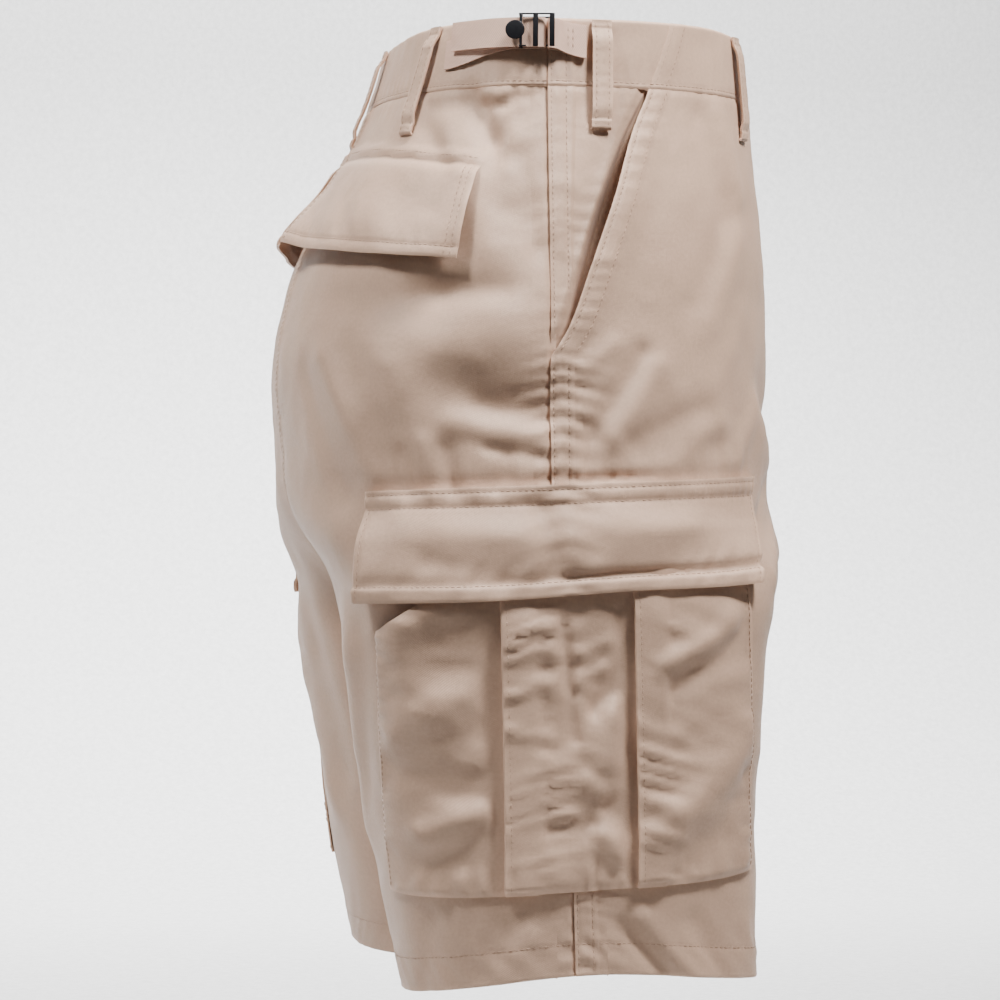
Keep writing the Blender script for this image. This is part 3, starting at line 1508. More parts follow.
@dataclass
class CargoPocket(SidePiece):
    """The pleated pocket on the leg. Each pleat's fold lies towards the back."""

    back: float = -113.0
    back_drift: float = -15.0
    front: float = 110.0
    fold_drift: float = -7.0
    foot: float = -481.0
    foot_bow: float = 11.0
    slant: float = 0.045
    back_mouth: float = -319.0
    back_mouth_dip: float = 16.0
    mouth: float = -300.0
    usual_drop: float = 160.0
    pleats: tuple[Pleat, Pleat] = (Pleat(-37.5, 30, 22, 0.35), Pleat(36.5, 46, 15, -0.3))
    pleat_depth: float = 14.0
    edge_row: float = 2.6
    fold_row: float = 2.4
    wall: float = 1.0
    seat: float = 1.7
    layer: float = 1.9
    bulge: float = 2.4
    least: float = 1.5
    strength: float = 1.3

    def pleat(self, d: float, part: int) -> list[Run]:
        """Lay a pleat: under to the front, round, back over itself, and round its fold.

        Args:
            d: where the fold is.
            part: the number of the section behind it.

        Returns:
            Its runs of cloth.
        """
        low, radius, deep = self.seat + self.wall, self.layer / 2, d + self.pleat_depth
        turn = np.linspace(-math.pi / 2, math.pi / 2, 6)
        return [Run(np.linspace(d, deep, 8)[1:], low, part, 0.0),
                Run(deep + radius * np.cos(turn), low + radius + radius * np.sin(turn), part, 0.0),
                Run(np.linspace(deep, d, 8)[1:-1], low + self.layer, part, 0.0),
                Run(d - radius * np.cos(turn), low + self.layer + radius + radius * np.sin(turn), part + 1,
                    np.linspace(0, 1, 6))]

    def path(self) -> tuple[Array, Array, Array, Array]:
        """Return the pocket's section from the back to the front, as a run's four columns."""
        low = self.seat + self.wall
        high = low + 2 * self.layer
        first, second = (pleat.fold for pleat in self.pleats)
        back = np.linspace(0, 1, 44)
        swell = self.bulge * np.sin(math.pi * back ** 0.8) ** 1.2
        middle = np.linspace(0, 1, 40)[1:]
        crown = 0.7 * self.bulge * np.sin(math.pi * middle ** 0.8) ** 1.2
        front = np.linspace(0, 1, 46)[1:]
        fall = 0.7 * self.bulge * np.sin(math.pi * front) - 1.0 * smooth(front, 0.95, 1)
        runs = [Run(mix(self.back, first, back), low + swell - 1.0 * (1 - smooth(back, 0, 0.05)), 0),
                *self.pleat(first, 0),
                Run(mix(first, second, middle), mix(low, high, (1 - middle) ** 1.5) + crown, 1),
                *self.pleat(second, 1),
                Run(mix(second, self.front, front), mix(low, high, (1 - front) ** 1.5) + fall, 2)]
        return tuple(np.concatenate(column) for column in zip(*(np.broadcast_arrays(*run) for run in runs)))

    def top(self, d: Array) -> Array:
        """Return the height of the pocket's mouth, which dips at the back."""
        behind = self.back_mouth - self.back_mouth_dip * smooth(-d, 70, -self.back)
        return mix(self.mouth, behind, smooth(-d, 18, 34)) + self.slant * d

    def drift(self, d: Array, u: Array) -> Array:
        """Return how far a place moves sideways towards the pocket's foot."""
        ahead = np.sin(math.pi * np.clip(d / self.front, 0, 1) ** 0.7)
        return np.where(d < 0, d / self.back * self.back_drift, ahead * self.fold_drift) * u

    def foot_at(self, d: Array) -> Array:
        """Return the height of the pocket's foot, which sags in the middle."""
        share = np.clip((d - self.back) / (self.front - self.back), 0, 1)
        return self.foot + self.slant * d - self.foot_bow * np.sin(math.pi * share) ** 0.9

    def relief(self, d: Array, z: Array, part: Array, u: Array) -> Array:
        """Return the pocket's creases, puckers and sag.

        Args:
            d: distances from the side seam, before the drift.
            z: heights.
            part: the number of the section between pleats.
            u: shares of the way down.

        Returns:
            The relief.
        """
        noise = self.form.noise
        height = 1.1 * noise.at(d + 300 + 80 * part, z, 26) + 0.6 * noise.at(d + 200 * part, z * 1.6, 12)
        for number, rows in enumerate(POCKET_CREASES):
            for row in rows:
                height += np.where(part == number, Crease(*row).relief(d, z), 0.0)
        for number, pleat in enumerate(self.pleats):
            ahead = d - pleat.fold
            crumple = np.where((part == number + 1) & (ahead > -3), bell(ahead - 10, pleat.reach), 0.0)
            lines = ripple(z + pleat.slant * np.abs(ahead - pleat.spine), 10.5, noise, 20.0 + number)
            height += 3.0 * crumple * (lines - 0.4) * smooth(u, -0.05, 0.1)
            near = (part == number + 1) * (1 - smooth(ahead, 14, 21))
            height = mix(height, 0.2 + 0.5 * (height + np.sqrt(height * height + 0.4)), near)
            height = height * np.where(part == number, smooth(-ahead, 0, 15), 1.0)
            deep = 1.3 + 1.1 * noise.at(z, 50.0 + 20 * number, 24)
            height = height - np.where(part == number, deep * bell(ahead + 3.5, 4.0), 0.0)
        for edge in (self.back, self.front):
            height += 1.3 * bell(np.abs(d - edge) - 5, 7) * (ripple(z, 9.0, noise, edge) - 0.4)
        above = (1 - u) * self.usual_drop
        height += 1.6 * bell(above - 7, 9) * (ripple(d, 12.0, noise, 31.0) - 0.4)
        gaping = 5.0 * bell(z - self.top(d), 13) * bell(d + 82, 26) * (part == 0)
        return height + gaping

    def lift(self, d: Array, z: Array, base: Array, part: Array, u: Array,
             shown: float | Array = 1.0) -> Array:
        """Lift the cloth, which settles onto the panel at the foot, the sides and under the flap.

        Args:
            d: distances from the side seam, before the drift.
            z: heights.
            base: lifts in the pocket's section.
            part: the number of the section between pleats.
            u: shares of the way down.
            shown: 1 where the cloth is on top, and 0 inside a pleat.

        Returns:
            The whole lift.
        """
        foot = smooth((1 - u) * self.usual_drop, 0, 4)
        edge = smooth(np.minimum(np.abs(d - self.back), np.abs(self.front - d)), 0, 5)
        clear = smooth(CUT.flap_top + CUT.flap_slant * d - CUT.flap_height - z, -5, 14)
        share = mix(0.35, 1.0, foot) * mix(0.6, 1.0, clear)
        settled = share * (base - self.seat - self.wall) + self.seat + self.wall
        creased = self.relief(d, z, part, u) * foot * edge * mix(0.1, 1.0, clear) * shown
        over = settled - 1.2 * (1 - foot) + self.strength * creased - self.least
        return self.least + 0.5 * (over + np.sqrt(over * over + 0.3))

    def build(self) -> Object:
        """Make the pocket and its stitches, and return the pocket."""
        path, base, part, shown = self.path()
        u = stops(0, 1, 0.0155, 0.03, 0.05, 0.008)
        top = self.top(np.clip(path, self.back, self.front))
        foot = self.foot_at(path)
        d = path[None] + self.drift(path[None], u[:, None])
        z = mix(top[None], foot[None], u[:, None])
        grid_u = np.repeat(u[:, None], len(path), axis=1)
        lift = self.lift(path[None] + 0 * z, z, base[None], part[None], grid_u, shown[None])
        rub = 0.0 * z
        for pleat in self.pleats:
            rub += bell(path - pleat.fold, 1.6)[None]
        rub += bell((1 - grid_u) * self.usual_drop, 2.0)
        rub += bell(path - self.back, 2)[None] + bell(path - self.front, 2)[None]
        obj = Patch(d, z, lift, rub).build(self.named("pocket"), self.side, self.wall, 70)
        finished(obj, (self.named("cargo_pocket"),), TWILL)
        stitch_rows(f"pocket_{self.side.value}_stitches", self.side, self.seams())
        return obj

    def row(self, at: float, number: int, level: float) -> Seam:
        """Lay a row of stitches down the pocket.

        Args:
            at: its distance from the side seam.
            number: the number of its section.
            level: the section's lift there.

        Returns:
            The row.
        """
        u = np.linspace(0.02, 0.985, 110)
        at, level, part = np.full_like(u, at), np.full_like(u, level), np.full_like(u, number)
        z = mix(self.top(at), self.foot_at(at), u)
        return Seam(at + self.drift(at, u), z, self.lift(at, z, level, part, u))

    def seams(self) -> list[Seam]:
        """Return the rows along the pocket's sides and folds."""
        path, base, part, _ = self.path()
        here = np.flatnonzero(part == 0)
        here = here[np.argsort(path[here], kind="stable")]
        low, back = self.seat + self.wall, self.back + self.edge_row
        rows = [self.row(back, 0, float(np.interp(back, path[here], base[here])))]
        for number, pleat in enumerate(self.pleats, 1):
            on_top = low + 2 * self.layer - 0.05 * self.fold_row
            rows.append(self.row(pleat.fold + self.fold_row, number, on_top))
        rows.append(self.row(self.front - self.edge_row, 2, low + 0.3))
        return rows


@dataclass
class CargoFlap(SidePiece):
    """The flap over the pocket on the leg."""

    back: float = -117.0
    back_foot: float = -119.0
    front: float = 141.0
    front_foot: float = 113.0
    height: float = CUT.flap_height
    wall: float = 1.8
    seat: float = 0.7
    hang: float = 6.2
    top_rows: tuple[float, ...] = (2.6, 10.5)
    edge_row: float = 8.0
    side_row: float = 4.0
    top_puckers: Pucker = Pucker(middle=6.5, reach=5.5, height=1.0, spacing=8, row=12)
    foot_puckers: Pucker = Pucker(middle=-11, reach=8, height=1.1, spacing=19, row=13)

    @property
    def width(self) -> float:
        """Return the width of the flap's top edge."""
        return self.front - self.back

    def place(self, v: Array, drop: Array) -> tuple[Array, Array]:
        """Return places on the flap from shares across and distances down."""
        u = drop / self.height
        d = mix(mix(self.back, self.back_foot, u), mix(self.front, self.front_foot, u), v)
        sag = 1.6 * bell(d + 60, 50) - 1.2 * bell(d - 40, 40)
        return d, CUT.flap_top + CUT.flap_slant * d - drop - sag * u

    def lift(self, v: Array, drop: Array) -> Array:
        """Lift the outer face.

        Args:
            v: shares across.
            drop: distances down.

        Returns:
            The lift.
        """
        u = drop / self.height
        noise = self.form.noise
        d, _ = self.place(v, drop)
        sides = np.minimum(v, 1 - v) * self.width
        height = self.wall + self.seat + (self.hang - self.seat) * smooth(u, 0.13, 0.5) + 1.2 * u
        lumps = 1.4 * noise.at(d + 700, 0 * d, 34) + 0.8 * noise.at(d + 400, drop, 18)
        height += lumps * smooth(u, 0.1, 0.9)
        height += self.top_puckers.relief(drop, d, self.side) * smooth(drop, 0, 3)
        height += self.foot_puckers.relief(drop - self.height, d + 0.6 * drop, self.side)
        above = self.height - drop - self.edge_row
        height = height - 1.9 * bell(above - 2.2, 2.4) * smooth(d, -30, 30) - 0.8 * bell(above - 2, 3)
        height += 0.7 * (1 - smooth(above, -0.6, 0.6)) + 0.6 * bell(drop - 6.5, 3.4)
        height += 0.5 * (1 - smooth(drop, 0, 11))
        for row in FLAP_CREASES:
            height += Crease(*row).relief(d, -drop)
        height += dents(drop, self.top_rows, 0.45) + dents(self.height - drop, (self.edge_row,), 0.4)
        height += dents(sides, (self.side_row,), 0.35) + 1.6 * bell(sides, 14) * smooth(u, 0.4, 1.0)
        if self.side is Side.LEFT:
            height = height - 4.5 * smooth(-d, 60, 112) * smooth(u, 0.1, 0.6)
        return height - 0.6 * bell(sides, 0.8) - 0.6 * bell(self.height - drop, 0.8) - 0.4 * bell(drop, 0.8)

    def build(self) -> Object:
        """Make the flap and its stitches, and return the flap."""
        v = stops(0, 1, 0.0095, 0.035, 0.035, 0.0045)
        drop = stops(0, self.height, 2.0, 12, 9, 1.0)
        v2, drop2 = np.meshgrid(v, drop)
        d, z = self.place(v2, drop2)
        edge = np.minimum(np.minimum(v2, 1 - v2) * self.width, self.height - drop2)
        obj = Patch(d, z, self.lift(v2, drop2), bell(edge, 1.5) + 0.6 * bell(drop2, 1.2)).build(
            self.named("pocket_flap"), self.side, self.wall)
        finished(obj, (self.named("cargo_flap"),), TWILL)
        across = np.linspace(0.008, 0.992, 200)
        rows = [sewn_on(self, across, row) for row in (*self.top_rows, self.height - self.edge_row)]
        down = np.linspace(self.top_rows[1], self.height - 1.5, 50)
        share = self.side_row / self.width
        rows += [sewn_on(self, end, down) for end in (share, 1 - share)]
        stitch_rows(f"pocket_flap_{self.side.value}_stitches", self.side, rows)
        return obj


@dataclass
class BackPocket(SidePiece):
    """The back pocket's flap, hanging from under a stitched line, over a narrow welt."""

    seam_top: float = -44.0
    seam_foot: float = -56.0
    centre: float = 16.0
    top_z: float = -82.0
    top_rise: float = 13.0
    height: float = 55.0
    wall: float = 1.6
    seat: float = 0.7
    hang: float = 5.0
    corner_curl: float = 8.0
    edge_row: float = 6.0
    side_rows: tuple[float, float] = (4.0, 7.5)
    top_row: float = 2.6
    width: float = 165.0
    welt_wall: float = 0.8
    welt_inset: float = 9.0
    welt_drops: tuple[float, ...] = (5.2, 6.0, 8.0, 10.0, 12.0, 14.6, 15.4)
    foot_puckers: Pucker = Pucker(middle=9, reach=6, height=0.8, spacing=14, row=15)

    def place(self, v: Array, drop: Array) -> tuple[Array, Array]:
        """Return places on the flap from shares across, 0 at the seat seam, and distances down."""
        u = drop / self.height
        end = -(self.form.length(self.top_z - drop, False) - self.centre)
        d = mix(end, mix(self.seam_top, self.seam_foot, u), v)
        bow = 2.5 * np.sin(math.pi * v)
        return d, self.top_z + self.top_rise * (1 - v) + bow * (1 - u) - drop

    def band(self, d: Array, z: Array) -> Array:
        """Raise the panel where it is stitched down over the flap's top edge.

        Args:
            d, z: places on the cloth.

        Returns:
            The panel's relief there.
        """
        end = -(self.form.length(self.top_z, False) - self.centre)
        v = (d - end) / (self.seam_top - end)
        _, top = self.place(np.clip(v, 0, 1), 0.0 * d)
        across, above = smooth(np.minimum(v, 1 - v), -0.02, 0.01), z - top
        raised = 1.5 * smooth(above, -0.9, 0.1) * (1 - smooth(above, 4.6, 7.0))
        return across * (raised + dents(above, (self.top_row,), 0.4))

    def lift(self, v: Array, drop: Array) -> Array:
        """Lift the outer face.

        Args:
            v: shares across.
            drop: distances down.

        Returns:
            The lift.
        """
        u = drop / self.height
        noise = self.form.noise
        d, _ = self.place(v, drop)
        sides = np.minimum(v, 1 - v) * self.width
        curl = self.corner_curl * smooth(u, 0.3, 1) * (1 - smooth(v, 0, 0.25))
        start = mix(0.2, 1.0, smooth(drop, 0.6, 6.0))
        height = (self.wall + self.seat) * start + 1.1 * smooth(u, 0.03, 0.16)
        height += self.hang * smooth(u, 0, 0.8) + curl
        lumps = 1.3 * noise.at(d + 900, drop, 30) + 0.5 * noise.at(d + 100, drop, 13)
        height += lumps * smooth(u, 0.05, 0.6)
        above = self.height - drop
        height += dents(sides, self.side_rows, 0.3) + dents(above, (self.edge_row,), 0.4)
        height += self.foot_puckers.relief(above, d, self.side)
        return height - 0.6 * bell(sides, 0.8) - 0.6 * bell(above, 0.8)

    def build(self) -> Object:
        """Make the flap, the welt and their stitches, and return the flap."""
        v = stops(0, 1, 0.013, 0.06, 0.06, 0.0065)
        drop = stops(0, self.height, 2.0, 4, 9, 1.0)
        v2, drop2 = np.meshgrid(v, drop)
        d, z = self.place(v2, drop2)
        edge = np.minimum(np.minimum(v2, 1 - v2) * self.width, self.height - drop2)
        rub = bell(edge, 1.5) - 2.6 * bell(drop2, 1.6)
        obj = Patch(d, z, self.lift(v2, drop2), rub).build(
            self.named("back_pocket_flap"), self.side, self.wall)
        finished(obj, (self.named("back_flap"),), TWILL)
        self.build_welt()
        across = np.linspace(0.01, 0.99, 140)
        rows = [sewn_on(self, across, self.height - self.edge_row)]
        down = np.linspace(3, self.height - 1.5, 50)
        rows += [sewn_on(self, end, down) for row in self.side_rows
                 for end in (row / self.width, 1 - row / self.width)]
        d, z = self.place(across, np.full_like(across, -self.top_row))
        rows.append(sewn(d, z, BackPanel(self.side).lift))
        stitch_rows(f"back_pocket_{self.side.value}_stitches", self.side, rows)
        return obj

    def build_welt(self) -> Object:
        """Make the welt under the flap and return it."""
        inset, drop = self.welt_inset / self.width, np.array(self.welt_drops)
        v2, drop2 = np.meshgrid(np.linspace(inset, 1 - inset, 60), drop)
        d, z = self.place(v2, drop2)
        lift = 1.3 - 0.5 * bell(drop2 - drop[-1], 0.7) + 0 * d
        obj = Patch(d, z, lift).build(self.named("back_pocket_welt"), self.side, self.welt_wall)
        finished(obj, (self.named("back_welt"),), TWILL)
        return obj


@dataclass
class BeltLoop(SidePiece):
    """A belt loop: a folded strip, held at both ends and standing off between them."""

    name: str
    d: float
    foot_drift: float = 0.0
    width: float = 11.5
    top: float = -1.0
    foot: float = -63.0
    wall: float = 1.4
    seat: float = 0.5
    stand: float = 3.0
    edge_row: float = 3.6

    @property
    def length(self) -> float:
        """Return the loop's length."""
        return self.top - self.foot

    def lift(self, across: Array, u: Array) -> Array:
        """Lift the outer face.

        Args:
            across: distances from the loop's middle line.
            u: shares of the way down.

        Returns:
            Its distance from the form.
        """
        stand = self.stand * smooth(u, 0.02, 0.2) * (1 - smooth(u, 0.8, 0.97))
        edge = self.width / 2 - np.abs(across)
        noise = FORMS[self.side].noise
        tucked = 0.9 * smooth(u, 0.9, 0.93) * (1 - smooth(u, 0.985, 1.0)) + 0.7 * (1 - smooth(u, 0.05, 0.08))
        drawn = 0.5 * (ripple(u * self.length, 7.5, noise, self.d) - 0.4) * bell(across, 5)
        return (self.wall + self.seat + stand - 0.5 * bell(edge, 0.7)
                + dents(np.abs(across), (self.edge_row,), 0.35) + tucked + drawn
                - 0.6 * bell((1 - u) * self.length, 0.8))

    def place(self, across: Array, u: Array) -> tuple[Array, Array]:
        """Return places on the loop from distances across and shares down."""
        start = self.top + float(waist_top(self.d))
        return self.d + self.foot_drift * u + across, mix(start, self.foot, u)

    def build(self) -> Object:
        """Make the loop and its stitches, and return the loop."""
        across = stops(-self.width / 2, self.width / 2, 1.1, 1.6, 1.6, 0.5)
        u = stops(0, 1, 0.022, 0.1, 0.12, 0.011)
        a2, u2 = np.meshgrid(across, u)
        d, z = self.place(a2, u2)
        rub = bell(self.width / 2 - np.abs(a2), 1.2)
        obj = Patch(d, z, self.lift(a2, u2), rub).build(
            f"loop_{self.name}", self.side, self.wall, form=self.form)
        finished(obj, (f"belt_loop_{self.name}",), TWILL)
        np.full(len(u), self.width)
        u * self.length
        down = np.linspace(0.02, 0.97, 50)
        rows = [sewn_on(self, away, down) for away in (-self.edge_row, self.edge_row)]
        stitch_rows(f"loop_{self.name}_stitches", self.side, rows, self.form)
        return obj


# The loops of each side: name, distance from the side seam, and how far the foot drifts from that
LOOPS = (("back", -84.0, -17.0), ("side", 24.0, 0.0), ("front", 134.0, 4.0))


@dataclass
class CentreLoop(BeltLoop):
    """The belt loop over the centre back."""

    side: Side = Side.RIGHT
    name: str = "centre"
    d: float = 0.0

    @property
    def form(self) -> CentreBack:
        """Return what the loop lies on."""
        return CentreBack()

    def place(self, across: Array, u: Array) -> tuple[Array, Array]:
        """Return places on the loop from distances across and shares down."""
        return across, mix(self.top - CUT.waist_dip, self.foot, u)


def rounded(path: Sequence[tuple[float, float]], rounds: int = 3) -> tuple[Array, Array]:
    """Cut a path's corners round.

    Args:
        path: distances and lifts.
        rounds: how many times its corners are cut.

    Returns:
        The rounded path's distances, and its lifts.
    """
    points = np.array(path)
    for _ in range(rounds):
        ahead = 0.75 * points[:-1] + 0.25 * points[1:]
        after = 0.25 * points[:-1] + 0.75 * points[1:]
        points = np.concatenate([points[:1], np.stack([ahead, after], 1).reshape(-1, 2), points[-1:]])
    return points[:, 0], points[:, 1]


def seat_on(side: Side, d: float, z: float, lift: float) -> Matrix:
    """Work out how a hard part sits on the cloth, with its x to the front and its z outwards.

    Args:
        side: which side of the shorts it is on.
        d: its distance from the side seam.
        z: its height.
        lift: how far its foot stands off the form.

    Returns:
        The matrix that puts it there.
    """
    form = FORMS[side]
    points, outs = form.cloth(np.array([d - 4, d, d + 4.0]), np.full(3, z), np.full(3, lift))
    out = Vector(outs[1])
    forward = Vector(points[2] - points[0])
    forward = (forward - out * forward.dot(out)).normalized()
    turn = Matrix((forward, out.cross(forward), out)).transposed()
    return Matrix.Translation(Vector(points[1])) @ turn.to_4x4()


def block(size: Triple, at: Triple, bevel: float) -> Object:
    """Make a box with rounded edges.

    Args:
        size: its size, in millimetres.
        at: the middle of its foot.
        bevel: how far its edges are rounded.

    Returns:
        The box.
    """
    bpy.ops.object.select_all(action="DESELECT")
    place = [value * MM for value in (at[0], at[1], at[2] + size[2] / 2)]
    bpy.ops.mesh.primitive_cube_add(size=1, location=place, scale=[value * MM for value in size])
    return rounded_edges(bpy.context.object, bevel)


def disc(radius: float, thick: float, at: Triple, bevel: float, vertices: int = 48) -> Object:
    """Make a flat disc with rounded edges.

    Args:
        radius: its radius, in millimetres.
        thick: its thickness.
        at: the middle of its foot.
        bevel: how far its edges are rounded.
        vertices: number of corners round it.

    Returns:
        The disc.
    """
    bpy.ops.object.select_all(action="DESELECT")
    place = [value * MM for value in (at[0], at[1], at[2] + thick / 2)]
    bpy.ops.mesh.primitive_cylinder_add(vertices=vertices, radius=radius * MM, depth=thick * MM,
                                        location=place)
    return rounded_edges(bpy.context.object, bevel)


def rounded_edges(obj: Object, bevel: float) -> Object:
    """Round an object's sharp edges.

    Args:
        obj: the object.
        bevel: how far they are rounded, in millimetres.

    Returns:
        The object.
    """
    only(obj)
    bpy.ops.object.transform_apply(location=True, rotation=True, scale=True)
    modifier = obj.modifiers.new("bevel", "BEVEL")
    modifier.width = bevel * MM
    modifier.segments = 3
    modifier.limit_method = "ANGLE"
    bpy.ops.object.modifier_apply(modifier="bevel")
    bpy.ops.object.shade_smooth_by_angle(angle=math.radians(40))
    return obj


def joined(parts: Sequence[Object], name: str, matrix: Matrix) -> Object:
    """Join hard parts into one object and put it in its place.

    Args:
        parts: the parts, as they are made.
        name: the object's name.
        matrix: what puts it in its place.

    Returns:
        The object.
    """
    only(parts[0])
    for part in parts:
        part.select_set(True)
    bpy.ops.object.join()
    obj = bpy.context.object
    obj.name = name
    obj.data.transform(matrix)
    obj.data.update()
    return obj


@dataclass
class Adjuster(SidePiece):
    """The waist adjuster: a tape from the back through a lever buckle and back on itself, and a tab."""

    width: float = 16.5
    wall: float = 0.8
    top: float = -1.2
    anchor_drop: float = 9.0
    tab_drop: float = 3.2
    tab_bend: tuple[float, float] = (-9.0, 16.0)
    tape_path: tuple = ((-72, 1.1), (-62, 1.6), (-45, 1.7), (-25, 1.6), (-12, 1.6), (-8.2, 1.8), (-7.9, 3.6),
                        (-8.2, 5.6), (-12.5, 6.1), (-21, 6.0), (-29, 5.9), (-37, 5.6), (-46, 4.8), (-55, 4.4),
                        (-64, 4.0))
    tab_path: tuple = ((15, 1.4), (5, 1.5), (-5.2, 1.4), (-6.1, 2.0), (-6.3, 3.8), (-5.7, 5.8), (-2.0, 6.0),
                       (1.4, 3.4), (5, 2.6), (15, 2.5))
    height: float = 16.9
    lever_height: float = 18.9
    thick: float = 1.6
    seat: float = 2.6
    rail: float = 0.9
    bars: tuple[float, float, float] = (-21.0, -12.5, -3.5)
    bar_width: float = 2.2
    hinge_width: float = 1.6
    lever_radius: float = 5.4
    lever_wall: float = 1.3
    lever_rise: float = 5.0
    lever_bars: tuple[float, float] = (-12.8, -3.6)
    lever_bar_width: float = 2.9
    disc_back: float = 3.2
    disc_raise: float = 0.3
    lever_arm: float = 0.8
    lever_stub: float = 3.0
    buckle_z: float = -8.7
    bevel: float = 0.4
    arm_bevel: float = 0.3
    tab_rows: tuple[float, float] = (4.6, 7.4)
    tab_lift: float = 3.1

    def ribbon(self, name: str, node: str, path: tuple, tilt: float) -> Object:
        """Make a length of tape along a path.

        Args:
            name: the object's name.
            node: the CAD node that it stands for.
            path: distances and lifts along its middle.
            tilt: how far its front end hangs lower.

        Returns:
            The tape.
        """
        ds, lifts = rounded(path)
        inner = np.linspace(1.5, self.width - 1.5, 14)
        across = np.concatenate([[0, 0.5], inner, [self.width - 0.5, self.width]])
        d, drop = np.meshgrid(ds, across)
        lift = np.broadcast_to(lifts, d.shape) + 0.25 * self.form.noise.at(d, drop * 2, 16)
        edge = np.minimum(drop, self.width - drop)
        under = smooth(np.arange(len(ds)) / len(ds), 0.45, 0.35)
        z = self.top - drop - tilt * smooth(d, *self.tab_bend) * (1 + 0.6 * drop / self.width)
        z = z - self.anchor_drop * under * smooth(-d, 22, 70) * (tilt == 0)
        obj = Patch(d, z, lift, 0.7 * bell(edge, 0.9)).build(name, self.side, self.wall, 60, 0.0)
        finished(obj, (node,), TAPE)
        return obj

    def buckle(self) -> Object:
        """Make the lever buckle."""
        middle = (self.bars[0] + self.bars[2]) / 2
        length = self.bars[2] - self.bars[0] + self.bar_width
        hinge = self.bars[0] - middle
        parts = [block((length, self.rail, self.thick), (0, y * (self.height - self.rail) / 2, 0), self.bevel)
                 for y in (-1, 1)]
        parts += [block((self.bar_width, self.height - 1, self.thick), (bar - middle, 0, 0), self.bevel)
                  for bar in self.bars]
        parts += [block((self.bar_width, self.rail, self.lever_rise + self.lever_wall),
                        (hinge, y * (self.lever_height - self.rail) / 2, 0), self.bevel) for y in (-1, 1)]
        parts.append(block((self.hinge_width, self.lever_height - 1, self.lever_wall),
                           (hinge, 0, self.lever_rise), self.bevel))
        front = self.lever_bars[1] - middle
        for y, end in ((1, front), (-1, hinge + self.lever_stub)):
            at = ((hinge + end) / 2, y * (self.lever_height - self.lever_arm) / 2, self.lever_rise)
            parts.append(block((end - hinge, self.lever_arm, self.lever_wall), at, self.arm_bevel))
        parts += [block((self.lever_bar_width, self.lever_height, self.lever_wall),
                        (bar - middle, 0, self.lever_rise), self.bevel) for bar in self.lever_bars]
        at = (hinge - self.disc_back, 0, self.lever_rise + self.disc_raise)
        parts.append(disc(self.lever_radius, self.lever_wall, at, self.bevel))
        seated = seat_on(self.side, middle, self.buckle_z, self.seat)
        return finished(joined(parts, self.named("buckle"), seated), (self.named("adjuster_buckle"),),
                        BLACK)

    def seams(self) -> list[Seam]:
        """Return the two short rows that hold the tab."""
        low, high = self.top - 2.0, self.top - self.width + 2.0
        return [Seam(np.full(24, d), np.linspace(low, high, 24) - self.tab_drop * smooth(d, *self.tab_bend),
                     np.full(24, self.tab_lift)) for d in self.tab_rows]

    def build(self) -> list[Object]:
        """Make the adjuster's tape, tab, buckle and stitches, and return them."""
        return [self.ribbon(self.named("tape"), self.named("adjuster_tape"), self.tape_path, 0.0),
                self.ribbon(self.named("tab"), self.named("adjuster_tab"), self.tab_path, self.tab_drop),
                self.buckle(),
                stitch_rows(f"tape_{self.side.value}_stitches", self.side, self.seams())]


@dataclass
class WaistButton:
    """The four-hole button at the front of the band."""

    radius: float = 8.5
    thick: float = 3.0
    rim: float = 1.7
    dish: float = 0.9
    hole: float = 1.1
    hole_offset: float = 2.1
    z: float = -19.0
    seat: float = 2.9
    thread: tuple[float, float] = (0.8, 0.6)

    def build(self) -> Object:
        """Make the button and its thread, and return the button."""
        body = disc(self.radius, self.thick, (0, 0, 0), 0.7, 64)
        cutters = [disc(self.radius - self.rim, self.thick, (0, 0, self.thick - self.dish), 0.3, 48)]
        offsets = (-self.hole_offset, self.hole_offset)
        cutters += [disc(self.hole, 2 * self.thick, (x, y, -1), 0.05, 20) for x in offsets for y in offsets]
        for cutter in cutters:
            modifier = body.modifiers.new("cut", "BOOLEAN")
            modifier.operation = "DIFFERENCE"
            modifier.object = cutter
            only(body)
            bpy.ops.object.modifier_apply(modifier="cut")
            bpy.data.objects.remove(cutter)
        bpy.ops.object.shade_smooth_by_angle(angle=math.radians(40))
        middle = float(FORMS[Side.RIGHT].length(self.z, True))
        matrix = seat_on(Side.RIGHT, middle, self.z, self.seat)
        obj = finished(joined([body], "button", matrix), ("waist_button",), HORN)
        level = self.thick - self.dish - 0.1
        threads = [block((2 * self.hole_offset, *self.thread), (0, y * self.hole_offset, level), 0.25)
                   for y in (-1, 1)]
        finished(joined(threads, "button_thread", matrix), (), THREAD)
        return obj


@dataclass(frozen=True)
class Lamp:
    """A soft square light: its place, its size in metres, its watts, its spread in degrees and its aim."""

    name: str
    place: Triple
    size: float
    power: float
    spread: float
    aim: Triple = (-0.08, 0.03, -0.16)

    def build(self) -> Object:
        """Add the light and return it."""
        data = bpy.data.lights.new(self.name, "AREA")
        data.size = self.size
        data.energy = self.power
        data.spread = math.radians(self.spread)
        lamp = bpy.data.objects.new(self.name, data)
        lamp.location = self.place
        lamp.rotation_euler = (Vector(self.aim) - Vector(self.place)).to_track_quat("-Z", "Y").to_euler()
        bpy.context.scene.collection.objects.link(lamp)
        return lamp


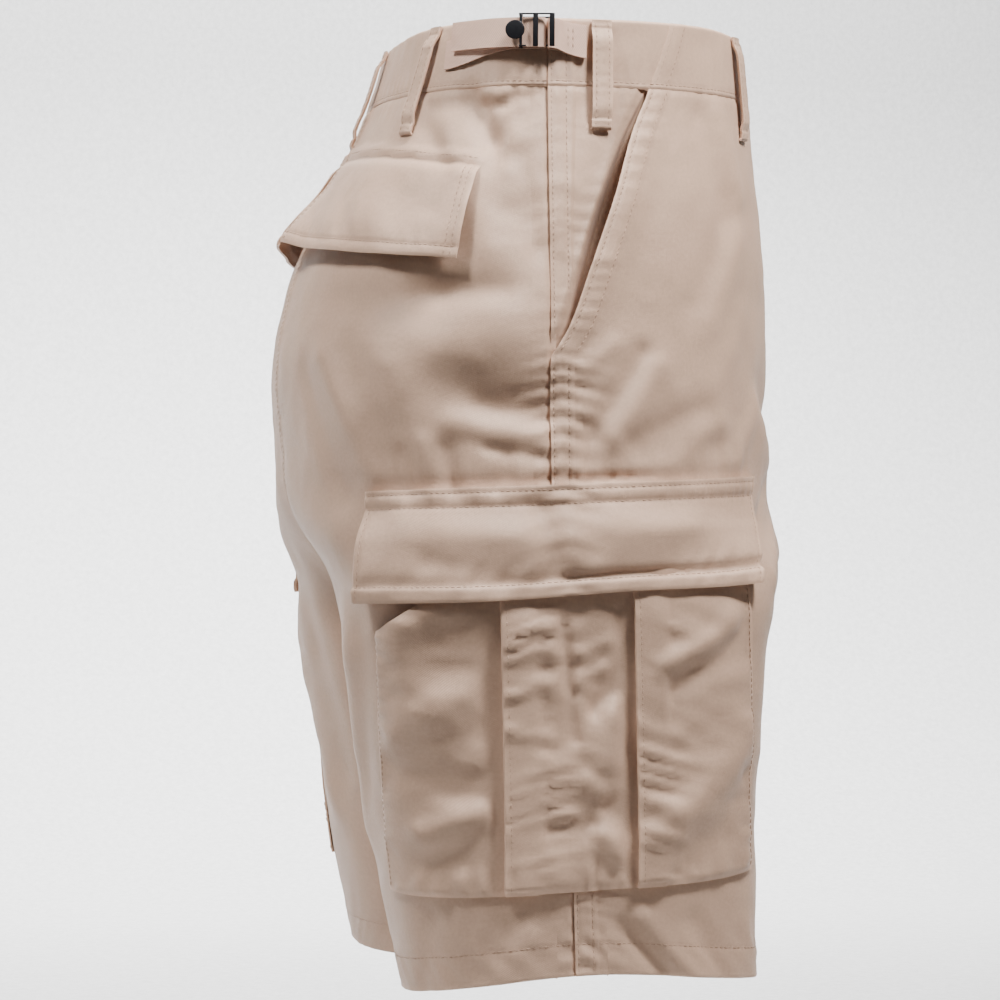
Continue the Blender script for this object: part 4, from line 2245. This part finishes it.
@dataclass
class Studio:
    """The floor, which sweeps up into a backdrop, the lights and the camera. Sizes are in metres."""

    floor_z: float = -0.66
    floor_front: float = -5.0
    floor_half: float = 5.0
    turn_x: float = 1.4
    turn_radius: float = 0.9
    backdrop_top: float = 4.0
    lamps: tuple[Lamp, ...] = (
        Lamp("key", (-0.72, -0.58, 1.25), 0.36, 4.9, 44),
        Lamp("second", (-0.46, 0.9, 1.2), 0.36, 2.6, 44),
        Lamp("backdrop", (1.3, 0.0, 2.2), 2.0, 135.0, 90, (2.1, 0.0, -0.3)))
    camera_place: Triple = (-2.3229, 0.4457, -0.268)
    camera_view: Triple = (0.9848, -0.1736, 0.0)
    camera_lens: float = 143.8
    camera_sensor: float = 36.0

    def sweep(self) -> Object:
        """Make the pale floor and the backdrop that it turns up into."""
        turn, radius = np.linspace(0, math.pi / 2, 24)[1:], self.turn_radius
        x = np.concatenate([[self.floor_front, self.turn_x], self.turn_x + radius * np.sin(turn),
                            [self.turn_x + radius]])
        z = np.concatenate([[0.0, 0.0], radius - radius * np.cos(turn), [self.backdrop_top]]) + self.floor_z
        points = np.stack([np.stack([x, np.full_like(x, y), z], -1)
                           for y in (-self.floor_half, self.floor_half)])
        at = np.arange(points.size // 3).reshape(2, -1)
        faces = np.stack([at[0, :-1], at[0, 1:], at[1, 1:], at[1, :-1]], -1)
        obj = mesh_object("floor", points, faces)
        obj.data.materials.append(Hard("pale_floor", (0.7, 0.7, 0.7, 1.0), 0.85, grain=0.0).material())
        shade_smooth(obj)
        return obj

    def camera(self) -> None:
        """Set up the camera."""
        data = bpy.data.cameras.new("photo")
        data.lens = self.camera_lens
        data.sensor_width = self.camera_sensor
        camera = bpy.data.objects.new("photo", data)
        camera.location = self.camera_place
        camera.rotation_euler = Vector(self.camera_view).to_track_quat("-Z", "Y").to_euler()
        bpy.context.scene.collection.objects.link(camera)
        bpy.context.scene.camera = camera

    def build(self) -> None:
        """Set up the studio."""
        world = bpy.data.worlds.new("pale")
        world.use_nodes = True
        back = world.node_tree.nodes["Background"]
        back.inputs["Color"].default_value = (1.0, 0.98, 0.96, 1.0)
        back.inputs["Strength"].default_value = 0.08
        bpy.context.scene.world = world
        self.sweep()
        for lamp in self.lamps:
            lamp.build()
        self.camera()


def main() -> None:
    """Dress the shorts and set up the studio."""
    logging.basicConfig(level=logging.INFO, format="%(message)s")
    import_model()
    for side in Side:
        pieces = [kind(side) for kind in (FrontPanel, BackPanel, PocketFacing, Waistband, CargoPocket,
                                          CargoFlap, BackPocket, Adjuster)]
        pieces += [BeltLoop(side, f"{name}_{side.value}", d, foot_drift) for name, d, foot_drift in LOOPS]
        for piece in pieces:
            piece.build()
    CentreLoop().build()
    WaistButton().build()
    Studio().build()


if __name__ == "__main__":
    main()
